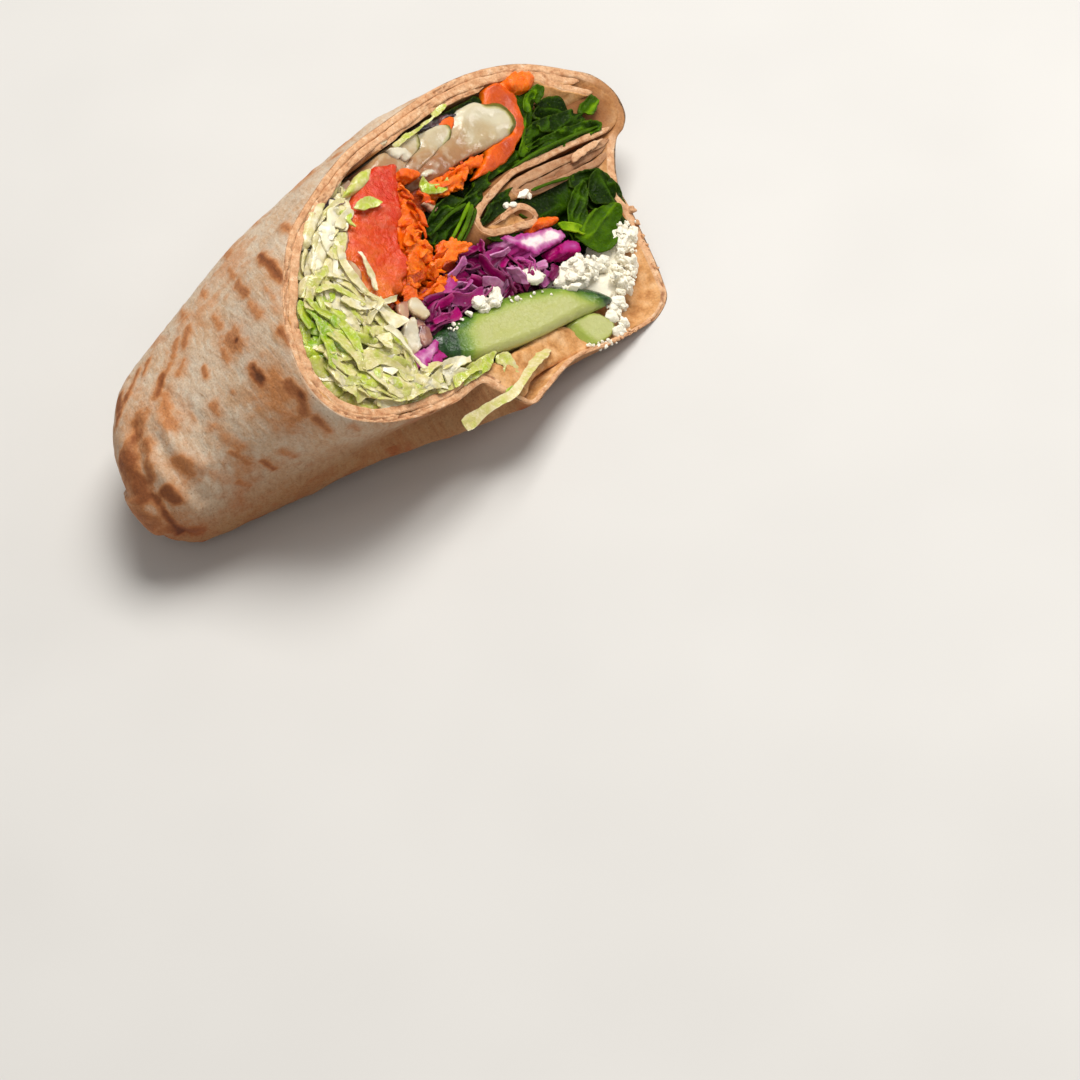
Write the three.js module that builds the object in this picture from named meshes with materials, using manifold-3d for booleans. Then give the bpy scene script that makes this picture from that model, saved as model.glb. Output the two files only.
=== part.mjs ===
// Half of a rolled flatbread wrap, cut on the slant, with its salad filling showing at the cut.
// Millimetres, +Z up. The wrap lies on z = 0 with its folded tail towards -X and its cut end towards +X.
import * as THREE from "three";
import { mergeVertices } from "three/addons/utils/BufferGeometryUtils.js";
import Module from "manifold-3d";

// ---- Driving dimensions ----

// The cut: the middle of its face, and the way that face looks.
const CUT_CENTRE = new THREE.Vector3(19.06, 0.28, 32);
const CUT_AZIMUTH = -45; // degrees from +X towards +Y
const CUT_ELEVATION = 51; // degrees above the horizontal
const CUT_TURN = -74; // degrees that the outlines' own u axis is turned in the plane of the cut

// The roll: its axis climbs gently from the tail to the cut, and its section is a flattened round.
const ROLL_RISE = 11; // degrees
const ROLL_HALF_WIDTH = 37;
const ROLL_HALF_HEIGHT = 33.5;
const ROLL_SQUARENESS = 2.2; // exponent of the superellipse
const SINK = 0.7; // how far the round underside is pressed flat
const SIDE_DRIFT = 2; // the tail lies this much to the side of the axis

// The tail, measured along the axis from the middle of the cut.
const TAIL_STATION = -96;
const TAIL_WIDTH_SHARE = 0.52;
const TAIL_HEIGHT_SHARE = 0.42;
const TAIL_TAPER = 1.3;
const TAIL_SKEW = 0.22; // the folded end is slanted by this slope across the width
const TAIL_ROUNDING_START = 0.84; // share of the way from the cut to the tail
const TAIL_SQUARENESS = 2.6;
const TAIL_LAST = 0.996; // the end is blunt, so the rounding stops just short of a point

// How far behind the cut the cut's own outline has turned into the plain round of the roll.
const OUTLINE_FADE = 0.6;

// The folded tail is several layers of bread thick, so the cavity and its filling end short of it.
const CAVITY_END = 0.82;
const CAVITY_ROUNDING_START = 0.66;
const FILLING_END = 0.6;
const CUT_OVERRUN = -0.03; // the cavity starts this share in front of the cut, for a clean edge

const OUTER_RINGS = 13;
const CAVITY_RINGS = 7;
const FILLING_RINGS = 3;
const TAIL_CROWDING = 1.5; // above 1 the rings crowd towards the tail
const WELD_DISTANCE = 1e-4;

// ---- Frames ----

const degrees = THREE.MathUtils.degToRad;
const lerp = THREE.MathUtils.lerp;

const cutFrame = (() => {
  const across = new THREE.Vector3(-Math.sin(degrees(CUT_AZIMUTH)), Math.cos(degrees(CUT_AZIMUTH)), 0);
  const normal = new THREE.Vector3(
    Math.cos(degrees(CUT_AZIMUTH)) * Math.cos(degrees(CUT_ELEVATION)),
    Math.sin(degrees(CUT_AZIMUTH)) * Math.cos(degrees(CUT_ELEVATION)),
    Math.sin(degrees(CUT_ELEVATION)),
  );
  const u = across.clone().applyAxisAngle(normal, degrees(CUT_TURN));
  return { u, v: normal.clone().cross(u), normal };
})();

const rollFrame = (() => {
  const along = new THREE.Vector3(Math.cos(degrees(ROLL_RISE)), 0, Math.sin(degrees(ROLL_RISE)));
  const side = new THREE.Vector3(0, 1, 0);
  return { along, side, over: along.clone().cross(side) };
})();

// A point of the cut's plane, u and v being as seen by someone who looks at the cut.
function cutPoint(u, v, out = 0) {
  return CUT_CENTRE.clone()
    .addScaledVector(cutFrame.u, u)
    .addScaledVector(cutFrame.v, v)
    .addScaledVector(cutFrame.normal, out);
}

// ---- The roll's section along its axis ----

function taper(station, tailShare) {
  const way = THREE.MathUtils.clamp(station / TAIL_STATION, 0, 1);
  return 1 - (1 - tailShare) * way ** TAIL_TAPER;
}

// Half sizes and middle of the section, the middle being low enough for the underside to lie on the floor.
function section(station) {
  const halfWidth = ROLL_HALF_WIDTH * taper(station, TAIL_WIDTH_SHARE);
  const halfHeight = ROLL_HALF_HEIGHT * taper(station, TAIL_HEIGHT_SHARE);
  const rise = degrees(ROLL_RISE);
  const floor = -(CUT_CENTRE.z + station * Math.sin(rise)) / Math.cos(rise);
  return {
    halfWidth,
    halfHeight,
    side: (-SIDE_DRIFT * station) / TAIL_STATION,
    over: floor - SINK + halfHeight,
  };
}

function roundRadius(angle) {
  const sum =
    Math.abs(Math.cos(angle)) ** ROLL_SQUARENESS + Math.abs(Math.sin(angle)) ** ROLL_SQUARENESS;
  return sum ** (-1 / ROLL_SQUARENESS);
}

// A point of the cut in the roll's own terms: its station, and its angle and radius in a unit section.
function rollTerms(u, v) {
  const arm = cutPoint(u, v).sub(CUT_CENTRE);
  const station = arm.dot(rollFrame.along);
  const here = section(station);
  const y = (arm.dot(rollFrame.side) - here.side) / here.halfWidth;
  const z = (arm.dot(rollFrame.over) - here.over) / here.halfHeight;
  return { station, angle: Math.atan2(z, y), radius: Math.hypot(y, z) };
}

function smooth(outline, samples) {
  const curve = new THREE.CatmullRomCurve3(
    outline.map(([u, v]) => new THREE.Vector3(u, v, 0)),
    true,
    "centripetal",
  );
  return curve.getPoints(samples).slice(0, -1);
}

// The rim of the bread at the cut, clockwise from the lip where its outer layer ends.
const RIM = [
  [2, -38.5], [-2.5, -43.5], [-12.5, -50.5], [-22.5, -55], [-32, -56], [-39.5, -52],
  [-44.5, -44], [-47, -35.5], [-47.5, -25], [-46.5, -14.5], [-42.5, -4.5], [-33.5, 12],
  [-23.5, 24], [-8.5, 40], [4, 49.5], [14, 54.5], [26.5, 57.5], [34, 58.5], [40, 56],
  [43, 51], [42.5, 46.5], [40.5, 42.5], [41, 29], [44.5, 23.5], [48.5, 16.5], [53, 7.5],
  [54.5, 2], [52.5, -3], [46.5, -9], [38, -16], [29, -22.5], [21, -33.5], [17.5, -38],
  [8, -37], [4.5, -36.5],
];

const RIM_TABLE_SIZE = 180;

const rimTable = smooth(RIM, RIM_TABLE_SIZE)
  .map(({ x, y }) => rollTerms(x, y))
  .sort((a, b) => a.angle - b.angle);

// The rim's radius in the unit section at any angle.
function rimRadius(angle) {
  const last = rimTable.length - 1;
  const next = rimTable.findIndex((entry) => entry.angle >= angle);
  const high = rimTable[next <= 0 ? 0 : next];
  const low = rimTable[next <= 0 ? last : next - 1];
  const turn = 2 * Math.PI;
  const span = (high.angle - low.angle + turn) % turn;
  const share = span > 0 ? ((angle - low.angle + turn) % turn) / span : 0;
  return lerp(low.radius, high.radius, Math.min(share, 1));
}

// The point that lies `way` of the distance from the cut to the tail, behind the cut's point (u, v).
function rollPoint(u, v, way, shrink = 1) {
  const start = rollTerms(u, v);
  const fade = THREE.MathUtils.smoothstep(way, 0, OUTLINE_FADE);
  const stretch = lerp(1, roundRadius(start.angle) / rimRadius(start.angle), fade);
  const radius = start.radius * stretch * shrink;
  const station = lerp(start.station, TAIL_STATION, way);
  const here = section(station);
  const y = radius * Math.cos(start.angle) * here.halfWidth + here.side;
  const z = radius * Math.sin(start.angle) * here.halfHeight + here.over;
  const skew = TAIL_SKEW * y * Math.max(way, 0) ** 2;
  return CUT_CENTRE.clone()
    .addScaledVector(rollFrame.along, station + skew)
    .addScaledVector(rollFrame.side, y)
    .addScaledVector(rollFrame.over, z);
}

// How much the section has closed in at the rounded end.
function rounding(way, start, end) {
  const past = THREE.MathUtils.clamp((way - start) / (end - start), 0, TAIL_LAST);
  return (1 - past ** TAIL_SQUARENESS) ** (1 / TAIL_SQUARENESS);
}

// ---- Solids ----

const wasm = await Module();
wasm.setup();

function toSolid(geometry) {
  const bare = geometry.clone();
  bare.deleteAttribute("normal");
  bare.deleteAttribute("uv");
  const merged = mergeVertices(bare, WELD_DISTANCE);
  return new wasm.Manifold(
    new wasm.Mesh({
      numProp: 3,
      vertProperties: new Float32Array(merged.attributes.position.array),
      triVerts: new Uint32Array(merged.index.array),
    }),
  );
}

function toGeometry(solid) {
  const mesh = solid.getMesh();
  const geometry = new THREE.BufferGeometry();
  geometry.setAttribute("position", new THREE.BufferAttribute(new Float32Array(mesh.vertProperties), 3));
  geometry.setIndex(new THREE.BufferAttribute(new Uint32Array(mesh.triVerts), 1));
  geometry.computeVertexNormals();
  return geometry;
}

// Extrudes an outline of the cut by one unit, then carries every vertex along the roll.
function loft(points, rings, place) {
  const shape = new THREE.Shape(points.map(({ x, y }) => new THREE.Vector2(x, y)));
  const geometry = new THREE.ExtrudeGeometry(shape, { depth: 1, steps: rings, bevelEnabled: false });
  const position = geometry.attributes.position;
  for (let i = 0; i < position.count; i++) {
    const at = place(position.getX(i), position.getY(i), position.getZ(i));
    position.setXYZ(i, at.x, at.y, at.z);
  }
  // The extrusion runs away from the viewer of the cut, so its faces are turned round.
  const turned = geometry.index ? geometry.toNonIndexed() : geometry;
  const array = turned.attributes.position.array;
  for (let i = 0; i < array.length; i += 9)
    for (let k = 0; k < 3; k++) [array[i + k], array[i + 3 + k]] = [array[i + 3 + k], array[i + k]];
  return turned;
}

function node(name, geometry, color, roughness) {
  const mesh = new THREE.Mesh(
    geometry,
    new THREE.MeshStandardMaterial({ color, roughness, metalness: 0 }),
  );
  mesh.name = name;
  return mesh;
}

// ---- The bread ----

// The inside of the bread: past the lettuce, round under the top layer, round both sides of the pleat
// that is tucked in under the nose, and back along the single-layer flap.
const CAVITY = [
  [2.5, -36], [-2.5, -40], [-12.5, -46.5], [-22, -51], [-28, -52], [-35, -49], [-40, -42.5],
  [-42.8, -34], [-43.5, -23], [-42, -13.5], [-37.2, -0.5], [-28.7, 11.5], [-16.8, 25],
  [-7.5, 35], [2.3, 42.5], [7.5, 48], [11.5, 51.3], [15.5, 52.6], [19, 51], [27.5, 52],
  [32.5, 52.5], [36, 54.6], [39.2, 53], [40, 50], [39, 47],
  [35.5, 42.5], [26.5, 34.5], [16, 26], [9, 18], [3, 10], [0.8, 6], [1.2, 3.5], [3.5, 3],
  [8.5, 5], [15.5, 8.7], [18, 12], [15, 14], [10.5, 11.4], [6.5, 7.8], [4.2, 6.6], [4.2, 8.4],
  [7.3, 13], [10.4, 17], [12.8, 17], [17.5, 19.5], [26.5, 27], [33, 32], [36.3, 35.8],
  [38, 33.5], [39, 29.5], [43, 23], [47, 15.5], [51, 6], [52, 2], [50.5, -1.5], [44.5, -7.5],
  [36.5, -14], [27.5, -21], [20, -29.5], [16, -35.3], [8, -34.5], [4.5, -34],
];

const RIM_FACETS = 84;
const CAVITY_FACETS = 124;
const FLOOR_SIZE = 400;

function makeTortilla() {
  const tailwards = (depth) => 1 - (1 - depth) ** TAIL_CROWDING;
  const outer = loft(smooth(RIM, RIM_FACETS), OUTER_RINGS, (u, v, depth) => {
    const way = tailwards(depth);
    return rollPoint(u, v, way, rounding(way, TAIL_ROUNDING_START, 1));
  });
  const inner = loft(smooth(CAVITY, CAVITY_FACETS), CAVITY_RINGS, (u, v, depth) => {
    const way = lerp(CUT_OVERRUN, CAVITY_END, tailwards(depth));
    return rollPoint(u, v, way, rounding(way, CAVITY_ROUNDING_START, CAVITY_END));
  });
  const floor = new THREE.BoxGeometry(FLOOR_SIZE, FLOOR_SIZE, FLOOR_SIZE);
  floor.translate(0, 0, -FLOOR_SIZE / 2);
  const solid = toSolid(outer).subtract(toSolid(inner)).subtract(toSolid(floor));
  return node("tortilla", toGeometry(solid), 0xc49a72, 0.8);
}

// ---- The filling ----

// Each filling runs back through the roll from its outline at the cut. `proud` is how far it stands
// out of the cut, `end` how far back it reaches, and `ruffle` how uneven its outline is.
const LETTUCE = { color: 0xcbd48a, roughness: 0.5 };
const CARROT = { color: 0xf0781a, roughness: 0.5 };
const PICKLE = { color: 0xd9cfa2, roughness: 0.3 };
const SPINACH = { color: 0x2f6a14, roughness: 0.4 };
const CABBAGE = { color: 0x7c1f6a, roughness: 0.4 };
const FETA = { color: 0xf2efe2, roughness: 0.7 };
const CUCUMBER = { color: 0xb5cf78, roughness: 0.3 };
const TOMATO = { color: 0xe4512a, roughness: 0.3 };
const ONION = { color: 0xe0d8c4, roughness: 0.4 };

const SHORT = 0.12; // a piece that only lies at the cut reaches back this far

const FILLINGS = {
  lettuce: {
    ...LETTUCE,
    proud: -0.8,
    ruffle: 0.25,
    outline: [
      [-27.2, 10.8], [-31.5, 4.8], [-36, -1.8], [-40.6, -14.2], [-42.1, -23.5], [-41.5, -34],
      [-38.9, -41.6], [-34.3, -47.6], [-28, -50.5], [-22.5, -49.6], [-13, -45.1], [-3.7, -39.1],
      [-0.6, -36.8], [-0.8, -35.4], [-3, -36.2], [-5.5, -38.6], [-9, -40.7], [-14.2, -39.2],
      [-17, -35.3], [-18.3, -31.5], [-18.6, -27.5], [-19.3, -25], [-25.2, -25.5], [-29.6, -21.6],
      [-34.6, -17.7], [-34.8, -13.2], [-33.3, -8.8], [-32.9, -3.8], [-30.6, 2.6], [-27.2, 9],
    ],
  },
  tomato: {
    ...TOMATO,
    proud: 0.3,
    outline: [
      [-24.5, 12], [-20.2, 12.8], [-18.9, 8], [-18.3, -2], [-17.9, -11], [-17, -18],
      [-19.5, -22.4], [-24.5, -23.3], [-28.5, -20], [-32.8, -16.4], [-33, -13.5],
      [-31.5, -9], [-31.2, -4], [-29, 2],
    ],
  },
  pickle_left: {
    ...PICKLE,
    proud: -1,
    outline: [
      [-23, 15.6], [-21, 17.9], [-13.6, 24.6], [-12.4, 23.9], [-12.9, 21.5], [-14.8, 16.6],
      [-17, 15.2], [-19.8, 14.8],
    ],
  },
  pickle_middle: {
    ...PICKLE,
    proud: -0.6,
    outline: [
      [-10.8, 24.8], [-6.8, 29.4], [-5.2, 28.6], [-5.7, 26], [-8.3, 22.3], [-13, 15.4],
      [-13.2, 17.5], [-11.7, 21.5],
    ],
  },
  pickle_right: {
    ...PICKLE,
    proud: 0.2,
    outline: [
      [-3.2, 32], [-1.3, 36], [1.5, 37.7], [7.5, 39], [10.1, 37.9], [10.6, 35.3], [9.3, 32],
      [4.7, 27], [-3.3, 19.8], [-7.5, 16], [-11.3, 14.9], [-9.6, 17.8], [-4.6, 24.8],
      [-3.2, 29.3],
    ],
  },
  carrot_ribbon: {
    ...CARROT,
    proud: 0.4,
    outline: [
      [5.4, 44], [9, 44.4], [11.8, 42.6], [13.5, 39], [13.2, 33.3], [11, 28], [7, 23.6],
      [3.7, 20.2], [3, 21], [5.2, 24.8], [9.4, 29.3], [11.7, 33.3], [11.9, 37.3],
      [9.9, 40.5], [5.8, 41.4],
    ],
  },
  carrot_chunk: {
    ...CARROT,
    proud: 1.6,
    end: SHORT,
    outline: [[9.7, 47.5], [11.1, 49.8], [14.2, 51], [16.1, 50.1], [15.6, 48.3], [13.3, 46.8], [10.9, 46.4]],
  },
  carrot_left: {
    ...CARROT,
    proud: 0.5,
    ruffle: 0.2,
    outline: [
      [-17, 7.8], [-14.2, 8.3], [-11.6, 5.5], [-10.5, 0.5], [-10.9, -6], [-12.2, -12.5],
      [-13.8, -18.8], [-15.2, -20.3], [-15.7, -17.5], [-16.4, -11], [-16.9, -2],
    ],
  },
  carrot_middle: {
    ...CARROT,
    proud: -0.4,
    ruffle: 0.2,
    outline: [
      [-9.2, -9.5], [-6.9, -5.4], [-2.4, -3], [-2.8, -5.6], [-6.2, -10.6], [-6.3, -15],
      [-9, -16.6], [-10.6, -15.8],
    ],
  },
  carrot_upper: {
    ...CARROT,
    proud: -0.3,
    ruffle: 0.15,
    outline: [[-9.8, 10.4], [-3.2, 16.8], [0.5, 20.3], [1, 19.5], [-1.9, 15.3], [-7.2, 9.5], [-9.2, 9.1]],
  },
  carrot_small: {
    ...CARROT,
    proud: 0.8,
    end: SHORT,
    outline: [[17.6, 9.8], [19.9, 12.1], [22.7, 13.1], [22.9, 12.1], [20.8, 11], [18.4, 9.4]],
  },
  spinach_upper: {
    ...SPINACH,
    proud: -1.2,
    ruffle: 0.25,
    outline: [
      [18, 47.4], [22.5, 48.4], [30.8, 46.7], [34.2, 44.5], [31, 41], [25, 36.1], [15, 27.8],
      [7.8, 19.7], [2, 12], [-0.7, 6.7], [-1.4, 1.9], [-3.2, -1.2], [-6, -1.7], [-8, -0.4],
      [-8.5, 1.6], [-6.5, 5.3], [-2.4, 10.1], [3.5, 16.4], [8.9, 22.3], [13.2, 27.3],
      [15.6, 33.5], [16, 39.5], [16.2, 44.3],
    ],
  },
  spinach_lower: {
    ...SPINACH,
    proud: -0.4,
    ruffle: 0.25,
    outline: [
      [14.8, 16], [19.4, 18.4], [27.6, 25.4], [33.5, 29.3], [36.4, 28.3], [39.8, 24.6],
      [42.2, 20.8], [42, 19.4], [39.8, 17.2], [39, 13.9], [35.4, 10.2], [31.4, 9.6],
      [27.7, 10.7], [25.2, 12.5], [24.4, 15], [19.5, 15.6],
    ],
  },
  red_cabbage: {
    ...CABBAGE,
    proud: -0.2,
    ruffle: 0.25,
    outline: [
      [-9.2, -19], [-6.8, -17.8], [-4.3, -14.8], [-4.2, -10], [-0.9, -5.7], [0, -1.6],
      [3.8, 0.8], [8, 1.3], [10.4, -0.1], [14, -0.5], [18.6, 0.4], [22.5, 2.7], [24.4, 3.7],
      [24, 1.4], [20.8, -1.9], [15.4, -6.5], [8, -11.9], [1.2, -16.8], [-3.4, -21.1],
      [-8, -25.2], [-11.2, -22.4],
    ],
  },
  red_cabbage_pale: {
    ...CABBAGE,
    color: 0xc79ac0,
    proud: 1,
    end: SHORT,
    outline: [[11, 2.7], [14.9, 5.8], [20, 7.9], [24.6, 7.8], [23.1, 5.6], [18.4, 2.4], [14.1, 1.9]],
  },
  red_cabbage_low: {
    ...CABBAGE,
    proud: 0.6,
    end: SHORT,
    outline: [
      [-13.2, -36.6], [-11.1, -32.8], [-10.1, -30.8], [-9.5, -31.8], [-8.5, -33.6],
      [-9, -35.8], [-11.3, -37.9],
    ],
  },
  onion: {
    ...ONION,
    proud: 0.4,
    outline: [
      [-15.6, -25.6], [-13.6, -24.4], [-12.4, -27], [-12.4, -30], [-13.8, -32], [-16, -31],
      [-16.7, -28],
    ],
  },
  feta_right: {
    ...FETA,
    proud: 0.4,
    ruffle: 0.3,
    end: 0.4,
    outline: [
      [42.2, 16.2], [44.2, 17.2], [44.9, 15.6], [43.5, 12.8], [44.4, 9], [43.4, 3.8],
      [41.9, -0.1], [39.8, -0.2], [38.6, 6.1], [39.5, 9.8], [41, 12.8],
    ],
  },
  feta_middle: {
    ...FETA,
    proud: 0.6,
    end: 0.4,
    ruffle: 0.2,
    outline: [
      [25.9, 2.5], [28.3, 4.5], [32.3, 6.1], [32.4, 2.3], [32.6, 0], [29, -1.7], [27, -0.7],
      [25.8, 0.8],
    ],
  },
  cucumber: {
    ...CUCUMBER,
    proud: 0.8,
    outline: [
      [-7.9, -28.5], [-5.6, -24.6], [-1.3, -21.9], [5.2, -16.4], [13.5, -11], [21.7, -6.2],
      [30.2, -3.6], [37.2, -3.6], [37.5, -4.6], [30.9, -10], [21.5, -17.6], [13.5, -23.5],
      [6.5, -27.6], [0, -30.8], [-5.4, -32.2], [-7.8, -30.5],
    ],
  },
  cucumber_end: {
    ...CUCUMBER,
    proud: 0.4,
    end: SHORT,
    outline: [[32.4, -11.3], [36.2, -7.8], [39.2, -9.1], [37, -11.6], [34.5, -13.5]],
  },
};

const FACETS_PER_POINT = 2;
const RUFFLE_TURN = 2.4; // radians from one facet to the next, so that the pushes never line up

// Pushes the outline in and out by turns, which makes a bundle of shreds uneven.
function ruffled(points, amount) {
  return points.map((point, i) => {
    const before = points[(i + points.length - 1) % points.length];
    const after = points[(i + 1) % points.length];
    const along = after.clone().sub(before).normalize();
    const push = amount * Math.sin(i * RUFFLE_TURN);
    return new THREE.Vector3(point.x + along.y * push, point.y - along.x * push, 0);
  });
}

function makeFilling(name, { outline, color, roughness, proud, end = FILLING_END, ruffle = 0 }) {
  const points = ruffled(smooth(outline, outline.length * FACETS_PER_POINT), ruffle);
  const rings = end > SHORT ? FILLING_RINGS : 1;
  const geometry = loft(points, rings, (u, v, depth) => {
    const front = -proud / (rollTerms(u, v).station - TAIL_STATION);
    return rollPoint(u, v, lerp(front, end, depth));
  });
  return node(name, toGeometry(toSolid(geometry)), color, roughness);
}

// One long shred of lettuce hangs out of the cut over the edge of the flap. Its points are u, v and the
// height above the cut's plane.
const STRAND = [
  [24, -19.5, -3], [19.3, -26.5, -0.6], [15.2, -32, 1.4], [12, -36.7, 2.6], [8.4, -41.4, 2.2],
  [3.6, -46, 0.4], [0.5, -48.8, -1.4],
];
const STRAND_HALF_WIDTH = 1.1;
const STRAND_HALF_THICKNESS = 0.45;
const STRAND_SIDES = 8;
const STRAND_STEPS = 14;

function makeStrand() {
  const section = new THREE.Shape();
  section.absellipse(0, 0, STRAND_HALF_THICKNESS, STRAND_HALF_WIDTH, 0, 2 * Math.PI);
  const geometry = new THREE.ExtrudeGeometry(section, {
    extrudePath: new THREE.CatmullRomCurve3(STRAND.map(([u, v, out]) => cutPoint(u, v, out))),
    steps: STRAND_STEPS,
    curveSegments: STRAND_SIDES,
  });
  return node("lettuce_strand", toGeometry(toSolid(geometry)), LETTUCE.color, LETTUCE.roughness);
}

// ---- The whole ----

const group = new THREE.Group();
group.name = "vegetable_wrap_half";
group.add(makeTortilla());
for (const [name, filling] of Object.entries(FILLINGS)) group.add(makeFilling(name, filling));
group.add(makeStrand());

export default group;
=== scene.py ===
"""Looks of the half wrap: rolled flatbread with its layers, pleats and toasted spots, and the cut salad.

Everything is laid out in millimetres: u and v lie in the plane of the cut, h stands out of it. Behind
the cut h follows the roll. Points become metres when a piece is built.
"""

import math
import random

import bpy
import numpy as np
from mathutils import Matrix, Vector
from mathutils.geometry import delaunay_2d_cdt


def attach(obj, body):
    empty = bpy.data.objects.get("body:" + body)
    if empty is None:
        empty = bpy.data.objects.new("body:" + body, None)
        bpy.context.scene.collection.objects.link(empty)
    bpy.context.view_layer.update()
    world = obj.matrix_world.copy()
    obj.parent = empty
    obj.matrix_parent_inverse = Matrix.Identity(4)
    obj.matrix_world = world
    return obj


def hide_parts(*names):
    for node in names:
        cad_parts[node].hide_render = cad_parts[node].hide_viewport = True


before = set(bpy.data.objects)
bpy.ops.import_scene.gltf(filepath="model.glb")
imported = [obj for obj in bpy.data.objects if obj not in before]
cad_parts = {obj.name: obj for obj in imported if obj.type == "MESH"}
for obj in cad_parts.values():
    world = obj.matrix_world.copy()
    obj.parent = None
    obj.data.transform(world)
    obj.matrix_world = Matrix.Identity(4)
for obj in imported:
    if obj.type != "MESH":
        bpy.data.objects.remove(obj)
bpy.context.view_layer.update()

MM = 0.001

# ---- The frames of the cut and of the roll, as in the CAD source ----

CUT_CENTRE = np.array((19.06, 0.28, 32.0))
CUT_AZIMUTH = math.radians(-45)
CUT_ELEVATION = math.radians(51)
CUT_TURN = math.radians(-74)
ROLL_RISE = math.radians(11)
ROLL_HALF_WIDTH = 37.0
ROLL_HALF_HEIGHT = 33.5
ROLL_SQUARENESS = 2.2
SINK = 0.7
SIDE_DRIFT = 2.0
TAIL_STATION = -96.0
TAIL_WIDTH_SHARE = 0.52
TAIL_HEIGHT_SHARE = 0.42
TAIL_TAPER = 1.3
TAIL_SKEW = 0.22
TAIL_ROUNDING_START = 0.84
TAIL_SQUARENESS = 2.6
TAIL_LAST = 0.996
OUTLINE_FADE = 0.6
FLOOR = 0.02  # the lowest that a visual piece may reach
DEEPEST = 0.5  # share of the way to the tail that anything reaches behind the cut

NORMAL = np.array((
    math.cos(CUT_AZIMUTH) * math.cos(CUT_ELEVATION),
    math.sin(CUT_AZIMUTH) * math.cos(CUT_ELEVATION),
    math.sin(CUT_ELEVATION),
))
ACROSS = np.array((-math.sin(CUT_AZIMUTH), math.cos(CUT_AZIMUTH), 0.0))
AXIS_U = ACROSS * math.cos(CUT_TURN) + np.cross(NORMAL, ACROSS) * math.sin(CUT_TURN)
AXIS_V = np.cross(NORMAL, AXIS_U)
ALONG = np.array((math.cos(ROLL_RISE), 0.0, math.sin(ROLL_RISE)))
SIDE = np.array((0.0, 1.0, 0.0))
OVER = np.cross(ALONG, SIDE)

RIM = [
    (2, -38.5), (-2.5, -43.5), (-12.5, -50.5), (-22.5, -55), (-32, -56), (-39.5, -52), (-44.5, -44),
    (-47, -35.5), (-47.5, -25), (-46.5, -14.5), (-42.5, -4.5), (-33.5, 12), (-23.5, 24), (-8.5, 40),
    (4, 49.5), (14, 54.5), (26.5, 57.5), (34, 58.5), (40, 56), (43, 51), (42.5, 46.5), (40.5, 42.5),
    (41, 29), (44.5, 23.5), (48.5, 16.5), (53, 7.5), (54.5, 2), (52.5, -3), (46.5, -9), (38, -16),
    (29, -22.5), (21, -33.5), (17.5, -38), (8, -37), (4.5, -36.5),
]


def at_cut(u, v, h=0.0):
    """The point of the place u, v, h: in front of the cut, or behind it along the roll."""
    u, v, h = np.broadcast_arrays(np.asarray(u, float), np.asarray(v, float), np.asarray(h, float))
    flat = CUT_CENTRE + u[..., None] * AXIS_U + v[..., None] * AXIS_V
    front = flat + h[..., None] * NORMAL
    if (h >= 0).all():
        return front
    reach = (flat - CUT_CENTRE) @ ALONG - TAIL_STATION
    way = np.minimum(np.maximum(-h, 0) / (ALONG @ NORMAL) / reach, DEEPEST)
    return np.where((h < 0)[..., None], roll_point(u, v, way), front)


def smoothstep(x, low, high):
    t = np.clip((x - low) / (high - low), 0, 1)
    return t * t * (3 - 2 * t)


def lerp(a, b, t):
    return a + (b - a) * t


def unit(vectors):
    return vectors / np.linalg.norm(vectors, axis=-1, keepdims=True)


def taper(station, share):
    return 1 - (1 - share) * np.clip(station / TAIL_STATION, 0, 1) ** TAIL_TAPER


def section(station):
    half_height = ROLL_HALF_HEIGHT * taper(station, TAIL_HEIGHT_SHARE)
    floor = -(CUT_CENTRE[2] + station * math.sin(ROLL_RISE)) / math.cos(ROLL_RISE)
    return (
        ROLL_HALF_WIDTH * taper(station, TAIL_WIDTH_SHARE),
        half_height,
        -SIDE_DRIFT * station / TAIL_STATION,
        floor - SINK + half_height,
    )


def roll_terms(u, v):
    arm = np.asarray(u)[..., None] * AXIS_U + np.asarray(v)[..., None] * AXIS_V
    station = arm @ ALONG
    half_width, half_height, side, over = section(station)
    y = (arm @ SIDE - side) / half_width
    z = (arm @ OVER - over) / half_height
    return station, np.arctan2(z, y), np.hypot(y, z)


def closed_curve(points, samples):
    """A smooth closed curve through the points, sampled evenly."""
    points = np.asarray(points, float)
    dense = open_curve(np.vstack([points[-2:], points, points[:3]]), 12 * len(points) + 60, cut=2)
    return even(np.vstack([dense, dense[:1]]), samples + 1)[:-1]


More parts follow.
